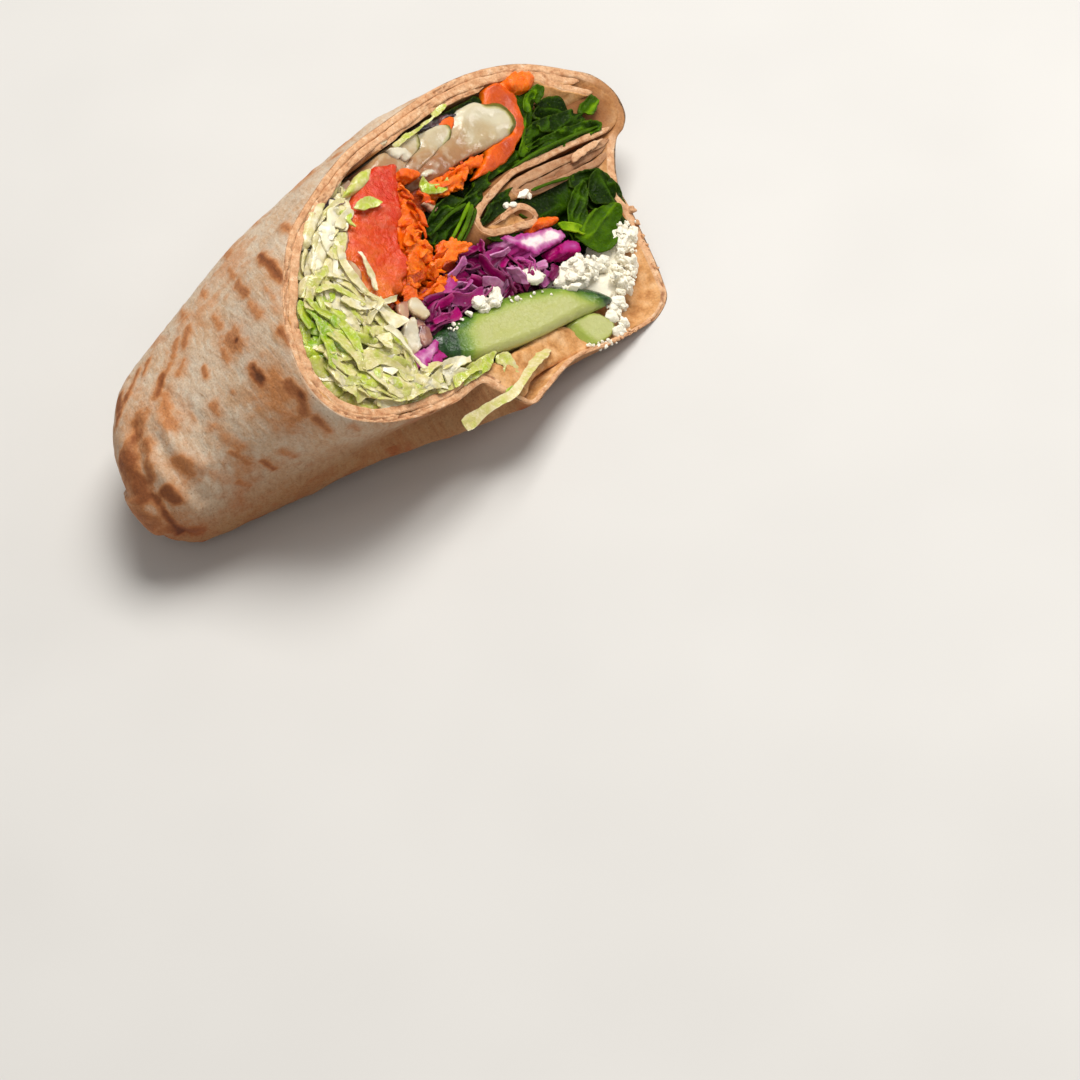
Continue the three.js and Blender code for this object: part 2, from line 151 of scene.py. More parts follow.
def open_curve(points, samples, cut=0):
    """Centripetal Catmull-Rom through the points; cut leaves out that many segments at each end."""
    points = np.asarray(points, float)
    if not cut:
        points = np.vstack([2 * points[:1] - points[1:2], points, 2 * points[-1:] - points[-2:-1]])
        cut = 1
    knots = np.concatenate([[0], np.cumsum(np.linalg.norm(np.diff(points, axis=0), axis=1) ** 0.5 + 1e-9)])
    last = len(points) - 1 - cut
    where = np.linspace(knots[cut], knots[last], samples)
    i = np.clip(np.searchsorted(knots, where, side="right") - 1, 1, len(points) - 3)
    t0, t1, t2, t3 = (knots[i + k][:, None] for k in (-1, 0, 1, 2))
    p0, p1, p2, p3 = (points[i + k] for k in (-1, 0, 1, 2))
    t = where[:, None]
    a1 = (t1 - t) / (t1 - t0) * p0 + (t - t0) / (t1 - t0) * p1
    a2 = (t2 - t) / (t2 - t1) * p1 + (t - t1) / (t2 - t1) * p2
    a3 = (t3 - t) / (t3 - t2) * p2 + (t - t2) / (t3 - t2) * p3
    b1 = (t2 - t) / (t2 - t0) * a1 + (t - t0) / (t2 - t0) * a2
    b2 = (t3 - t) / (t3 - t1) * a2 + (t - t1) / (t3 - t1) * a3
    return (t2 - t) / (t2 - t1) * b1 + (t - t1) / (t2 - t1) * b2


def even(points, samples):
    lengths = np.concatenate([[0], np.cumsum(np.linalg.norm(np.diff(points, axis=0), axis=1))])
    where = np.linspace(0, lengths[-1], samples)
    return np.stack([np.interp(where, lengths, points[:, k]) for k in range(points.shape[1])], 1)


RIM_SAMPLES = 540
rim_curve = closed_curve(RIM, RIM_SAMPLES)
_, rim_angle, rim_reach = roll_terms(rim_curve[:, 0], rim_curve[:, 1])
_order = np.argsort(rim_angle)


def rim_radius(angle):
    return np.interp(angle, rim_angle[_order], rim_reach[_order], period=2 * math.pi)


def inward(span):
    """The way into the roll at each sample of the rim, from its neighbours span samples away.

    The rim runs clockwise as seen by someone who looks at the cut, so its inside is on the right.
    """
    tangent = unit(np.roll(rim_curve, -span, 0) - np.roll(rim_curve, span, 0))
    return np.stack([tangent[:, 1], -tangent[:, 0]], 1)


def round_radius(angle):
    total = np.abs(np.cos(angle)) ** ROLL_SQUARENESS + np.abs(np.sin(angle)) ** ROLL_SQUARENESS
    return total ** (-1 / ROLL_SQUARENESS)


def roll_point(u, v, way, shrink=1.0):
    """The point that lies way of the distance from the cut to the tail, behind the cut's point u, v."""
    station, angle, radius = roll_terms(u, v)
    stretch = lerp(1, round_radius(angle) / rim_radius(angle), smoothstep(way, 0, OUTLINE_FADE))
    here = lerp(station, TAIL_STATION, way)
    half_width, half_height, side, over = section(here)
    y = radius * stretch * shrink * np.cos(angle) * half_width + side
    z = radius * stretch * shrink * np.sin(angle) * half_height + over
    reach = here + TAIL_SKEW * y * np.maximum(way, 0) ** 2
    return CUT_CENTRE + reach[..., None] * ALONG + y[..., None] * SIDE + z[..., None] * OVER


def rounding(way, start, end):
    past = np.clip((way - start) / (end - start), 0, TAIL_LAST)
    return (1 - past ** TAIL_SQUARENESS) ** (1 / TAIL_SQUARENESS)


# ---- Noise ----


def _hash(x, y, z, seed):
    n = (x * 374761393 + y * 668265263 + z * 1440662683 + seed * 974634777) & 0xFFFFFFFF
    n = ((n ^ (n >> 13)) * 1274126177) & 0xFFFFFFFF
    return ((n ^ (n >> 16)) & 0xFFFF) / 32767.5 - 1


def noise(points, size, seed=0):
    """Smooth noise from -1 to 1 whose features are about size across."""
    p = np.asarray(points, float) / size
    base = np.floor(p).astype(np.int64)
    f = p - base
    f = f * f * (3 - 2 * f)
    total = 0
    for dx in (0, 1):
        wx = f[..., 0] if dx else 1 - f[..., 0]
        for dy in (0, 1):
            wy = f[..., 1] if dy else 1 - f[..., 1]
            for dz in (0, 1):
                wz = f[..., 2] if dz else 1 - f[..., 2]
                total = total + wx * wy * wz * _hash(
                    base[..., 0] + dx, base[..., 1] + dy, base[..., 2] + dz, seed)
    return total


def double_noise(points, size, seed):
    """Noise, and half as much of it at half the size."""
    return noise(points, size, seed) + 0.5 * noise(points, size / 2, seed + 17)


# ---- Building meshes ----


class Piece:
    """Gathers many closed shapes into one mesh, with number fields for its material."""

    def __init__(self, *fields):
        self.points, self.quads, self.tris = [], [], []
        self.fields = {name: [] for name in fields}
        self.count = 0

    def add(self, points, quads=None, tris=None, **values):
        points = np.asarray(points, float).reshape(-1, 3)
        if quads is not None and len(quads):
            self.quads.append(np.asarray(quads) + self.count)
        if tris is not None and len(tris):
            self.tris.append(np.asarray(tris) + self.count)
        for name, store in self.fields.items():
            value = np.asarray(values.get(name, 0.0), float)
            store.append(np.broadcast_to(value, (len(points),)).astype(np.float32))
        self.points.append(points)
        self.count += len(points)

    def build(self, name, material, slot, replaces=(), sharp=None):
        points = np.concatenate(self.points)
        points[:, 2] = np.maximum(points[:, 2], FLOOR)
        quads = np.concatenate(self.quads) if self.quads else np.zeros((0, 4), int)
        tris = np.concatenate(self.tris) if self.tris else np.zeros((0, 3), int)
        mesh = bpy.data.meshes.new(name)
        mesh.vertices.add(len(points))
        mesh.vertices.foreach_set("co", (points * MM).astype(np.float32).ravel())
        corners = np.concatenate([quads.ravel(), tris.ravel()]).astype(np.int32)
        starts = np.concatenate([
            np.arange(len(quads)) * 4, 4 * len(quads) + np.arange(len(tris)) * 3]).astype(np.int32)
        mesh.loops.add(len(corners))
        mesh.loops.foreach_set("vertex_index", corners)
        mesh.polygons.add(len(starts))
        mesh.polygons.foreach_set("loop_start", starts)
        mesh.polygons.foreach_set("use_smooth", np.full(len(starts), True))
        mesh.update(calc_edges=True)
        if sharp:
            mesh.set_sharp_from_angle(angle=math.radians(sharp))
        for field, store in self.fields.items():
            mesh.attributes.new(field, "FLOAT", "POINT").data.foreach_set("value", np.concatenate(store))
        mesh.materials.append(material)
        thing = bpy.data.objects.new(name, mesh)
        bpy.context.scene.collection.objects.link(thing)
        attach(thing, "root")
        if replaces:
            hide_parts(*replaces)


def grid(rows, columns, close_columns=False, close_rows=False):
    """Quads of a grid of points, row by row."""
    index = np.arange(rows * columns).reshape(rows, columns)
    if close_columns:
        index = np.hstack([index, index[:, :1]])
    if close_rows:
        index = np.vstack([index, index[:1]])
    return np.stack([index[:-1, :-1], index[:-1, 1:], index[1:, 1:], index[1:, :-1]], -1).reshape(-1, 4)


def fan(ring, centre, flip=False):
    ring = np.asarray(ring)
    after = np.roll(ring, -1)
    centre = np.full(len(ring), centre)
    return np.stack([after, ring, centre] if flip else [ring, after, centre], 1)


def place_of(u, v):
    return np.stack([u, v, 0 * u], -1)


def bumpy(level, amount, size, seed, at=(0, 0), slope=(0, 0)):
    """A front at a level, with soft bumps, that tilts about a place."""
    return lambda u, v: (
        level + (u - at[0]) * slope[0] + (v - at[1]) * slope[1] + amount * noise(place_of(u, v), size, seed))


def normals_of(points):
    """Normals of a grid of points whose columns close up, from its neighbours."""
    across = np.roll(points, -1, 1) - np.roll(points, 1, 1)
    n = np.cross(across, np.gradient(points, axis=0))
    return n / np.maximum(np.linalg.norm(n, axis=-1, keepdims=True), 1e-9)


def near(u, v, line):
    """Distance in the plane of the cut from each place to a line of points."""
    place = np.stack([u, v], -1)
    best = np.full(np.shape(u), 1e9)
    line = np.asarray(line, float)
    for a, b in zip(line[:-1], line[1:]):
        t = np.clip(((place - a) @ (b - a)) / max((b - a) @ (b - a), 1e-9), 0, 1)
        best = np.minimum(best, np.linalg.norm(place - a - t[..., None] * (b - a), axis=-1))
    return best


def inside(u, v, outline):
    """Which places lie inside an outline."""
    outline = np.asarray(outline, float)
    result = np.zeros(np.shape(u), bool)
    for (x0, y0), (x1, y1) in zip(outline, np.roll(outline, -1, 0)):
        crosses = (y0 > v) != (y1 > v)
        with np.errstate(divide="ignore", invalid="ignore"):
            result ^= crosses & (u < (x1 - x0) * (v - y0) / (y1 - y0) + x0)
    return result


def fill(outline, spacing):
    """Places that fill an outline, the outline's own first, and triangles between them."""
    low, high = outline.min(0), outline.max(0)
    rows = np.arange(low[1], high[1], spacing * 0.866)
    columns = np.arange(low[0], high[0] + spacing, spacing)
    u, v = np.meshgrid(columns, rows)
    u[1::2] += spacing / 2
    u, v = u.ravel(), v.ravel()
    keep = inside(u, v, outline)
    u, v = u[keep], v[keep]
    keep = near(u, v, np.vstack([outline, outline[:1]])) > spacing * 0.45
    points = np.vstack([outline, np.stack([u[keep], v[keep]], 1)])
    count = len(outline)
    ring = [(i, (i + 1) % count) for i in range(count)]
    made = delaunay_2d_cdt([Vector(p) for p in points], ring, [], 1, 1e-6)
    where = {old: new for new, olds in enumerate(made[3]) for old in olds}
    order = [where[i] for i in range(count) if i in where]
    return np.array([tuple(p) for p in made[0]]), np.array(made[2]), np.array(order)


BACK_ROWS = (0.12, 0.35, 0.65, 1.0)  # shares of a slab's depth where its sides have a row of points


def add_slab(piece, outline, height, depth, seed, samples=120, spacing=0.55, bevel=0.5, ragged=0.15,
             ragged_size=1.8, relief=0.1, relief_size=1.5, thin=None, **fields):
    """A piece with an outline at the cut. height(u, v) is its front, and depth how far it runs back.

    thin makes it a sheet of that thickness that follows its front instead. Each field is a number, or a
    function of u, v and the distance from the outline.
    """
    outline = closed_curve(outline, samples)
    flat = at_cut(outline[:, 0], outline[:, 1])
    tangent = unit(np.roll(outline, -1, 0) - np.roll(outline, 1, 0))
    push = ragged * (noise(flat, ragged_size, seed) + 0.6 * noise(flat, ragged_size * 0.4, seed + 1))
    outline = outline + np.stack([tangent[:, 1], -tangent[:, 0]], 1) * push[:, None]
    area = np.sum(outline[:, 0] * np.roll(outline[:, 1], -1) - outline[:, 1] * np.roll(outline[:, 0], -1))
    if area < 0:
        outline = outline[::-1]
    place, faces, ring = fill(outline, spacing)
    u, v = place[:, 0], place[:, 1]
    from_edge = near(u, v, np.vstack([outline, outline[:1]]))
    h = height(u, v) - bevel * (1 - np.minimum(from_edge / max(bevel * 1.6, 1e-6), 1)) ** 2
    flat = at_cut(u, v)
    h = h + relief * (noise(flat, relief_size, seed + 2) + 0.5 * noise(flat, relief_size / 2.5, seed + 3))
    front = at_cut(u, v, h)
    values = {
        name: field(u, v, from_edge) if callable(field) else np.full(u.shape, float(field))
        for name, field in fields.items()
    }
    n, count = len(ring), len(u)
    if thin is None:
        sides = len(BACK_ROWS)
        back = np.concatenate([at_cut(u[ring], v[ring], h[ring] - share * depth) for share in BACK_ROWS])
        middle = at_cut(u[ring].mean(), v[ring].mean(), h[ring].mean() - depth)
        rows = np.concatenate([ring, count + np.arange(sides * n)]).reshape(sides + 1, n)
        rows = np.hstack([rows, rows[:, :1]])
        quads = np.stack([rows[:-1, :-1], rows[1:, :-1], rows[1:, 1:], rows[:-1, 1:]], -1).reshape(-1, 4)
        points = np.vstack([front, back, middle])
        tris = np.vstack([faces, fan(rows[-1, :-1], count + sides * n, flip=True)])
        ends = {k: np.concatenate([x, np.tile(x[ring], sides), [x.mean()]]) for k, x in values.items()}
    else:
        points = np.vstack([front, at_cut(u, v, h - thin)])
        after = np.roll(ring, -1)
        quads = np.stack([ring, ring + count, after + count, after], 1)
        tris = np.vstack([faces, faces[:, ::-1] + count])
        ends = {k: np.tile(x, 2) for k, x in values.items()}
    piece.add(points, quads, tris, **ends)


# ---- Materials ----


def rgb(code):
    """A linear colour from a hexadecimal one."""
    parts = [int(code[i:i + 2], 16) / 255 for i in (0, 2, 4)]
    return (*(c / 12.92 if c <= 0.04045 else ((c + 0.055) / 1.055) ** 2.4 for c in parts), 1.0)


class Shader:
    def __init__(self, name, **sockets):
        self.material = bpy.data.materials.new(name)
        self.material.use_nodes = True
        self.tree = self.material.node_tree
        self.surface = self.tree.nodes["Principled BSDF"]
        for label, value in sockets.items():
            self.surface.inputs[label.replace("_", " ")].default_value = value
        self.where = self.tree.nodes.new("ShaderNodeTexCoord").outputs["Object"]

    def node(self, kind, **settings):
        made = self.tree.nodes.new(kind)
        for key, value in settings.items():
            setattr(made, key, value)
        return made

    def join(self, source, target):
        self.tree.links.new(source, target)

    def texture(self, source, scale, detail, distortion):
        made = self.node("ShaderNodeTexNoise")
        for label, value in (("Scale", scale), ("Detail", detail), ("Distortion", distortion)):
            made.inputs[label].default_value = value
        self.join(source, made.inputs["Vector"])
        return made.outputs["Fac"]

    def noise(self, size, detail, distortion=0.0):
        """Noise whose features are about size millimetres across."""
        return self.texture(self.where, 1 / (size * MM), detail, distortion)

    def streaks(self, along, around):
        """Noise drawn out round the roll; along and around are its features' millimetres."""
        place = self.node("ShaderNodeCombineXYZ")
        self.join(self.math("MULTIPLY", self.field("along"), 1 / along), place.inputs[0])
        self.join(self.math("MULTIPLY", self.field("around"), 1 / around), place.inputs[1])
        return self.texture(place.outputs[0], 1.0, 4.0, 0.5)

    def field(self, name):
        return self.node("ShaderNodeAttribute", attribute_name=name).outputs["Fac"]

    def ramp(self, source, *stops):
        """stops are (place, colour code)."""
        made = self.node("ShaderNodeValToRGB")
        elements = made.color_ramp.elements
        while len(elements) < len(stops):
            elements.new(0.5)
        for element, (place, code) in zip(elements, stops):
            element.position = place
            element.color = rgb(code) if isinstance(code, str) else (code, code, code, 1)
        self.join(source, made.inputs["Fac"])
        return made.outputs["Color"]

    def mix(self, share, first, second, blend="MIX"):
        made = self.node("ShaderNodeMix", data_type="RGBA", blend_type=blend)
        for socket, value in ((made.inputs[0], share), (made.inputs[6], first), (made.inputs[7], second)):
            if isinstance(value, str):
                socket.default_value = rgb(value)
            elif isinstance(value, (int, float)):
                socket.default_value = value
            else:
                self.join(value, socket)
        return made.outputs[2]

    def math(self, operation, first, second):
        made = self.node("ShaderNodeMath", operation=operation)
        for socket, value in zip(made.inputs, (first, second)):
            if isinstance(value, (int, float)):
                socket.default_value = value
            else:
                self.join(value, socket)
        return made.outputs[0]

    def color(self, source):
        self.join(source, self.surface.inputs["Base Color"])

    def bump(self, *layers):
        """layers are (height, millimetres)."""
        last = None
        for height, depth in layers:
            made = self.node("ShaderNodeBump")
            made.inputs["Strength"].default_value = 1.0
            made.inputs["Distance"].default_value = depth * MM
            self.join(height, made.inputs["Height"])
            if last:
                self.join(last, made.inputs["Normal"])
            last = made.outputs["Normal"]
        self.join(last, self.surface.inputs["Normal"])


def bread_material():
    s = Shader("bread", Roughness=0.8, Subsurface_Weight=0.05, Subsurface_Scale=0.001,
               Subsurface_Radius=(1.0, 0.6, 0.35))
    toast, cut, inner = s.field("toast"), s.field("cut"), s.field("inner")
    fine = s.streaks(1.0, 3.0)
    skin = s.ramp(s.noise(9, 3, distortion=0.4), (0.32, "d5c2ab"), (0.5, "d3b89b"), (0.68, "cea884"))
    skin = s.mix(s.ramp(fine, (0.36, 0.6), (0.5, 0.0)), skin, "d9cbb6")
    skin = s.mix(s.ramp(fine, (0.54, 0.0), (0.7, 0.55)), skin, "b48c66")
    edge = s.math("ADD", toast, s.math("MULTIPLY", s.math("SUBTRACT", s.noise(0.9, 4), 0.5), 0.22))
    skin = s.mix(s.ramp(edge, (0.02, 0.0), (0.42, 0.85)), skin, "c47c3e")
    skin = s.mix(s.ramp(edge, (0.38, 0.0), (0.75, 0.9)), skin, "8f4d1e")
    skin = s.mix(s.ramp(edge, (0.76, 0.0), (1.05, 0.9)), skin, "582c0e")
    speck = s.ramp(s.noise(0.45, 1), (0.68, 0.0), (0.76, 0.5))
    skin = s.mix(speck, skin, "7d5a3c")
    # Painted shade: the skin is multiplied darker towards the underside of the roll.
    under = s.ramp(s.field("under"), (0.0, 0.0), (1.0, 1.0))
    skin = s.mix(under, skin, "c49f78", "MULTIPLY")
    lining = s.ramp(s.noise(2.6, 5), (0.3, "b3783e"), (0.45, "cf965a"), (0.7, "e4b582"))
    # Painted shade: on the lining this darkening is the shade in the nose and between the pleats, not
    # toasting.
    lining = s.mix(toast, lining, "87501f")
    skin = s.mix(inner, skin, lining)
    crumb = s.ramp(s.noise(1.6, 5), (0.3, "c0865a"), (0.45, "d6a377"), (0.62, "e3b68c"), (0.75, "efd0ae"))
    crumb = s.mix(s.ramp(s.noise(0.3, 2), (0.6, 0.0), (0.7, 0.6)), crumb, "a3552e")
    # Painted shade: the same darkening falls on the cut edges of the nose and of the deeper pleats.
    crumb = s.mix(toast, crumb, "8a5c3a")
    skin = s.mix(cut, skin, crumb)
    skin = s.mix(s.math("MULTIPLY", s.field("crack"), 0.75), skin, "8f5730")
    s.color(s.mix(s.ramp(s.noise(0.5, 3), (0.3, 0.25), (0.6, 0.0)), skin, "8d6a4a", "MULTIPLY"))
    s.bump((fine, 0.2), (s.noise(1.3, 3), 0.14), (s.noise(0.4, 3), 0.07))
    return s.material


def food_material(name, roughness, subsurface, scale, radius, tone_size, tone_gain, stops, fleck=None,
                  bumps=(), edge=None, layers=None, shine=0.5, clear=0.0):
    """A moist food: colours along its tone, flecks of a lighter colour, and fine relief."""
    s = Shader(name, Roughness=roughness, Subsurface_Weight=subsurface, Subsurface_Scale=scale,
               Subsurface_Radius=radius, Specular_IOR_Level=shine, Transmission_Weight=clear)
    tone = s.math("MULTIPLY", s.math("SUBTRACT", s.noise(tone_size, 4), 0.5), tone_gain)
    color = s.ramp(s.math("ADD", s.field("tone"), tone), *stops)
    if fleck:
        size, low, high, share, code = fleck
        color = s.mix(s.ramp(s.noise(size, 3), (low, 0.0), (high, share)), color, code)
    if edge:
        color = s.mix(s.math("MULTIPLY", s.field(edge[0]), edge[1]), color, edge[2])
    if layers:
        color = layers(s, color)
    s.color(color)
    s.bump(*((s.noise(size, 3), depth) for size, depth in bumps))
    return s.material


def pickle_skin(s, color):
    color = s.mix(s.ramp(s.field("skin"), (0.15, 0.0), (0.55, 0.7)), color, "a9a04a")
    return s.mix(s.ramp(s.field("skin"), (0.6, 0.0), (0.95, 1.0)), color, "66621a")


def cucumber_rind(s, color):
    rind = s.ramp(s.noise(1.6, 3), (0.35, "142e12"), (0.65, "2a4e22"))
    return s.mix(s.ramp(s.field("skin"), (0.3, 0.0), (0.7, 1.0)), color, rind)


BREAD = bread_material()
# The edge colour is painted light: the thin edges of the lettuce are drawn lighter, as light shining through
# them.
LETTUCE = food_material(
    "lettuce", 0.18, 0.35, 0.0007, (1.0, 1.0, 0.7), 2.4, 0.95,
    ((0.0, "ebe4c8"), (0.18, "dacea0"), (0.34, "cec480"), (0.5, "bdc05e"), (0.7, "b2c234"), (1.0, "84ac16")),
    fleck=(0.9, 0.5, 0.72, 0.5, "ece4c2"), edge=("edge", 0.2, "f2eab4"), bumps=((1.6, 0.25), (0.4, 0.05)))
CARROT = food_material(
    "carrot", 0.32, 0.3, 0.0012, (1.0, 0.35, 0.04), 1.6, 0.6,
    ((0.0, "a03000"), (0.3, "d64c00"), (0.6, "f66a00"), (1.0, "ff8d10")),
    fleck=(0.4, 0.52, 0.75, 0.45, "ffa236"), bumps=((0.7, 0.18), (0.25, 0.12)), shine=0.35)
RIBBON_SHRED = food_material(
    "carrot_ribbon", 0.3, 0.3, 0.0014, (1.0, 0.35, 0.04), 5, 0.25,
    ((0.0, "a83400"), (0.3, "d65400"), (0.6, "ee6c04"), (1.0, "ff8d14")),
    fleck=(0.5, 0.55, 0.8, 0.3, "f88a24"), bumps=((2.0, 0.25), (0.5, 0.1), (0.2, 0.05)), shine=0.35)
CABBAGE = food_material(
    "red_cabbage", 0.3, 0.2, 0.0012, (1.0, 0.2, 0.5), 2.4, 0.4,
    ((0.0, "34021c"), (0.25, "700244"), (0.5, "a00662"), (0.72, "aa3e88"), (0.88, "c98cb2"), (1.0, "eedada")),
    edge=("edge", 0.15, "d9a4cb"), bumps=((1.0, 0.25), (0.4, 0.06)), shine=0.1)
# The lighter edge colour is the stems' own paler green, and a painted highlight along the leaves' rims.
SPINACH = food_material(
    "spinach", 0.27, 0.08, 0.0006, (0.5, 1.0, 0.1), 3, 0.35,
    ((0.0, "081300"), (0.25, "182d00"), (0.55, "365600"), (0.8, "668c00"), (1.0, "a4be24")),
    fleck=(0.7, 0.6, 0.8, 0.4, "628600"), edge=("vein", 0.2, "9ab834"),
    bumps=((1.6, 0.5), (0.6, 0.3), (0.25, 0.05)), shine=0.07)
CHEESE = food_material(
    "white_cheese", 0.6, 0.2, 0.0006, (1.0, 0.95, 0.85), 1.6, 1.0,
    ((0.2, "f9f2df"), (0.5, "fefbf1"), (0.8, "fffefb")),
    bumps=((0.7, 0.2), (0.3, 0.12), (0.14, 0.06)), shine=0.3)
TOMATO = food_material(
    "tomato", 0.12, 0.25, 0.0016, (1.0, 0.35, 0.08), 3.0, 0.9,
    ((0.0, "cc2c00"), (0.35, "d64402"), (0.7, "de6a0c"), (1.0, "e2943c")),
    fleck=(1.8, 0.5, 0.7, 0.45, "da7650"), bumps=((2.4, 0.5), (0.8, 0.35), (0.3, 0.16)))
PICKLE = food_material(
    "pickle", 0.14, 0.6, 0.003, (1.0, 0.85, 0.6), 4, 0.5,
    ((0.0, "d2c8ac"), (0.3, "c0ab86"), (0.6, "b0875f"), (1.0, "a06c48")),
    fleck=(2.2, 0.5, 0.75, 0.4, "e2dac6"), layers=pickle_skin, bumps=((1.8, 0.16), (0.4, 0.03)), clear=0.08)
CUCUMBER = food_material(
    "cucumber", 0.2, 0.35, 0.0025, (0.9, 1.0, 0.4), 3, 0.22,
    ((0.0, "b4b66e"), (0.4, "a2ae50"), (0.7, "74902e"), (1.0, "3c6418")),
    fleck=(1.0, 0.58, 0.75, 0.3, "d2d494"), layers=cucumber_rind, bumps=((1.2, 0.2), (0.35, 0.05)))
ONION = food_material(
    "onion", 0.1, 0.35, 0.0008, (1.0, 1.0, 0.8), 3.0, 0.25,
    ((0.0, "f3ead2"), (0.3, "e2cca2"), (0.6, "d09576"), (0.85, "905c5c"), (1.0, "3e2f38")),
    fleck=(2.2, 0.5, 0.8, 0.25, "f2e6cc"), bumps=((1.4, 0.12), (0.3, 0.03)), clear=0.3)

# ---- The bread ----

LAYER = 1.75  # thickness of one layer
BODY_ROWS = 135
BODY_CROWDING = 1.35
LINING_ROWS = 18
LINING_DEPTH = 0.42  # share of the way to the tail that the inside is made for
DEGREE = 0.48  # length of one degree round the roll, about half way along it

# Toasted places: stations and angles of a line through each, its half width and how dark it is.
SPOTS = [
    ([(-87.3, 91), (-90.4, 99), (-92.1, 111), (-92.8, 125), (-92.6, 135)], 2.6, 0.8),
    ([(-86.5, 108), (-88.8, 120), (-89.7, 128)], 1.5, 0.68),
    ([(-91.1, 136), (-90.4, 148), (-90.4, 164), (-89.2, 184)], 1.1, 0.86),
    ([(-87.9, 139), (-87.3, 150)], 1.4, 0.8),
    ([(-95.1, 144), (-92.9, 158), (-91.1, 174), (-87.3, 182)], 2.6, 0.64),
    ([(-81.5, 58), (-84.2, 65), (-86.6, 69)], 1.2, 0.75), ([(-77.9, 60), (-80.6, 67)], 1.0, 0.65),
    ([(-76.6, 81), (-79.4, 88)], 1.2, 0.8), ([(-78.3, 91), (-79.2, 102), (-79.9, 110)], 1.9, 0.5),
    ([(-70.7, 84), (-73, 88)], 1.2, 0.5), ([(-73.8, 79), (-76.2, 82)], 0.8, 0.5),
    ([(-59.5, 97), (-59.2, 104)], 2.2, 0.55), ([(-58.6, 102)], 0.7, 1.0),
    ([(-62.2, 99), (-62.9, 106)], 1.0, 0.5), ([(-59.4, 117), (-59.7, 122)], 1.0, 1.0),
    ([(-55.5, 130), (-55.2, 136), (-56.1, 141)], 1.2, 0.7),
    ([(-57.6, 128), (-60.8, 134), (-59, 141)], 3.0, 0.45), ([(-54.9, 136)], 0.9, 1.0),
    ([(-67.7, 98), (-68.4, 103)], 0.6, 0.6), ([(-65.9, 119)], 0.7, 0.4),
    ([(-70.7, 117), (-70.8, 123)], 1.0, 0.5), ([(-72.7, 126), (-72.3, 135), (-71, 143)], 1.3, 0.4),
    ([(-72.5, 142), (-70.6, 154)], 0.9, 0.5), ([(-68, 156), (-66.8, 166)], 0.6, 0.7),
    ([(-64, 155), (-62.1, 162)], 0.9, 0.4), ([(-74.4, 161), (-72.4, 169)], 0.9, 0.45),
    ([(-65.2, 133)], 0.9, 0.3), ([(-82, 129), (-81.9, 141)], 1.7, 0.5),
    ([(-50.1, 114), (-50.2, 120)], 0.9, 0.7), ([(-54.8, 146), (-53.8, 153)], 0.9, 0.7),
    ([(-62, -180), (-59, -168)], 0.8, 0.4), ([(-66.1, 71), (-68.5, 77)], 1.2, 0.6),
    ([(-69.7, 70), (-72.1, 76)], 0.9, 0.5), ([(-35, 72), (-34.6, 92)], 1.0, 0.6),
    ([(-43.2, 78), (-42.8, 98)], 0.9, 0.85), ([(-51, 78), (-51, 88)], 1.1, 0.6),
    ([(-50.5, 64), (-50.5, 72)], 1.0, 0.5), ([(-51.5, 94), (-51.5, 102)], 0.9, 0.45),
    ([(-59.6, 80), (-59.6, 88)], 1.0, 0.5), ([(-46.8, 95), (-46.8, 101)], 0.7, 0.4),
    ([(-42.6, -170), (-42.6, -156)], 1.1, 0.4), ([(-53.5, -172), (-54, -164)], 1.0, 0.35),
    ([(-48.8, 42), (-48.8, 52)], 1.2, 0.5), ([(-65.4, 50), (-65.4, 62)], 1.2, 0.6),
    ([(-58.6, 56), (-58.6, 64)], 1.2, 0.5), ([(-88, 60), (-90, 74)], 1.6, 0.8),
]
HIDDEN_SPOTS = 90
TAIL_TOAST = (80, 92)  # how far behind the cut the end of the tail starts to be toasted all over
UNDERSIDE = (62, 96)  # way round the roll over which the skin darkens towards the underside, as painted shade

# Creases of the folded tail: stations and angles along each, depth (negative is a ridge) and half width.
CREASES = [
    ([(-88, 92), (-91, 120), (-90.9, 136), (-89.6, 150), (-89.9, 166), (-88.5, 186)], 1.5, 2.2),
    ([(-81.7, 100), (-81.8, 114), (-81.5, 125), (-79, 140)], -0.8, 1.8),
    ([(-87.2, 118), (-86.6, 135), (-85.6, 150), (-84, 165)], -0.7, 1.5),
    ([(-84, 112), (-84, 133), (-82.6, 146), (-82, 160)], 0.5, 1.3),
    ([(-95.6, 138), (-95.2, 158), (-93.5, 176)], -1.3, 2.2),
    ([(-78, 84), (-77, 100), (-75.5, 118)], 0.35, 1.5),
]
FISSURE_LENGTH = 7.0
FISSURE_WIDTH = 0.8
FLAP_THINNING = 0.45  # how much thinner the single layer of the flap is


def body_spots():
    draw = random.Random(5)
    spots = list(SPOTS)
    for _ in range(HIDDEN_SPOTS):
        angle, station = draw.uniform(-152, 45), draw.uniform(-92, 25)
        size = draw.uniform(0.55, 1.0) ** 2
        reach = draw.uniform(2, 7) * size
        spots.append(([(station - draw.uniform(-1, 1), angle - reach), (station, angle + reach)], 1.7 * size,
                      draw.uniform(0.3, 0.9)))
    return spots


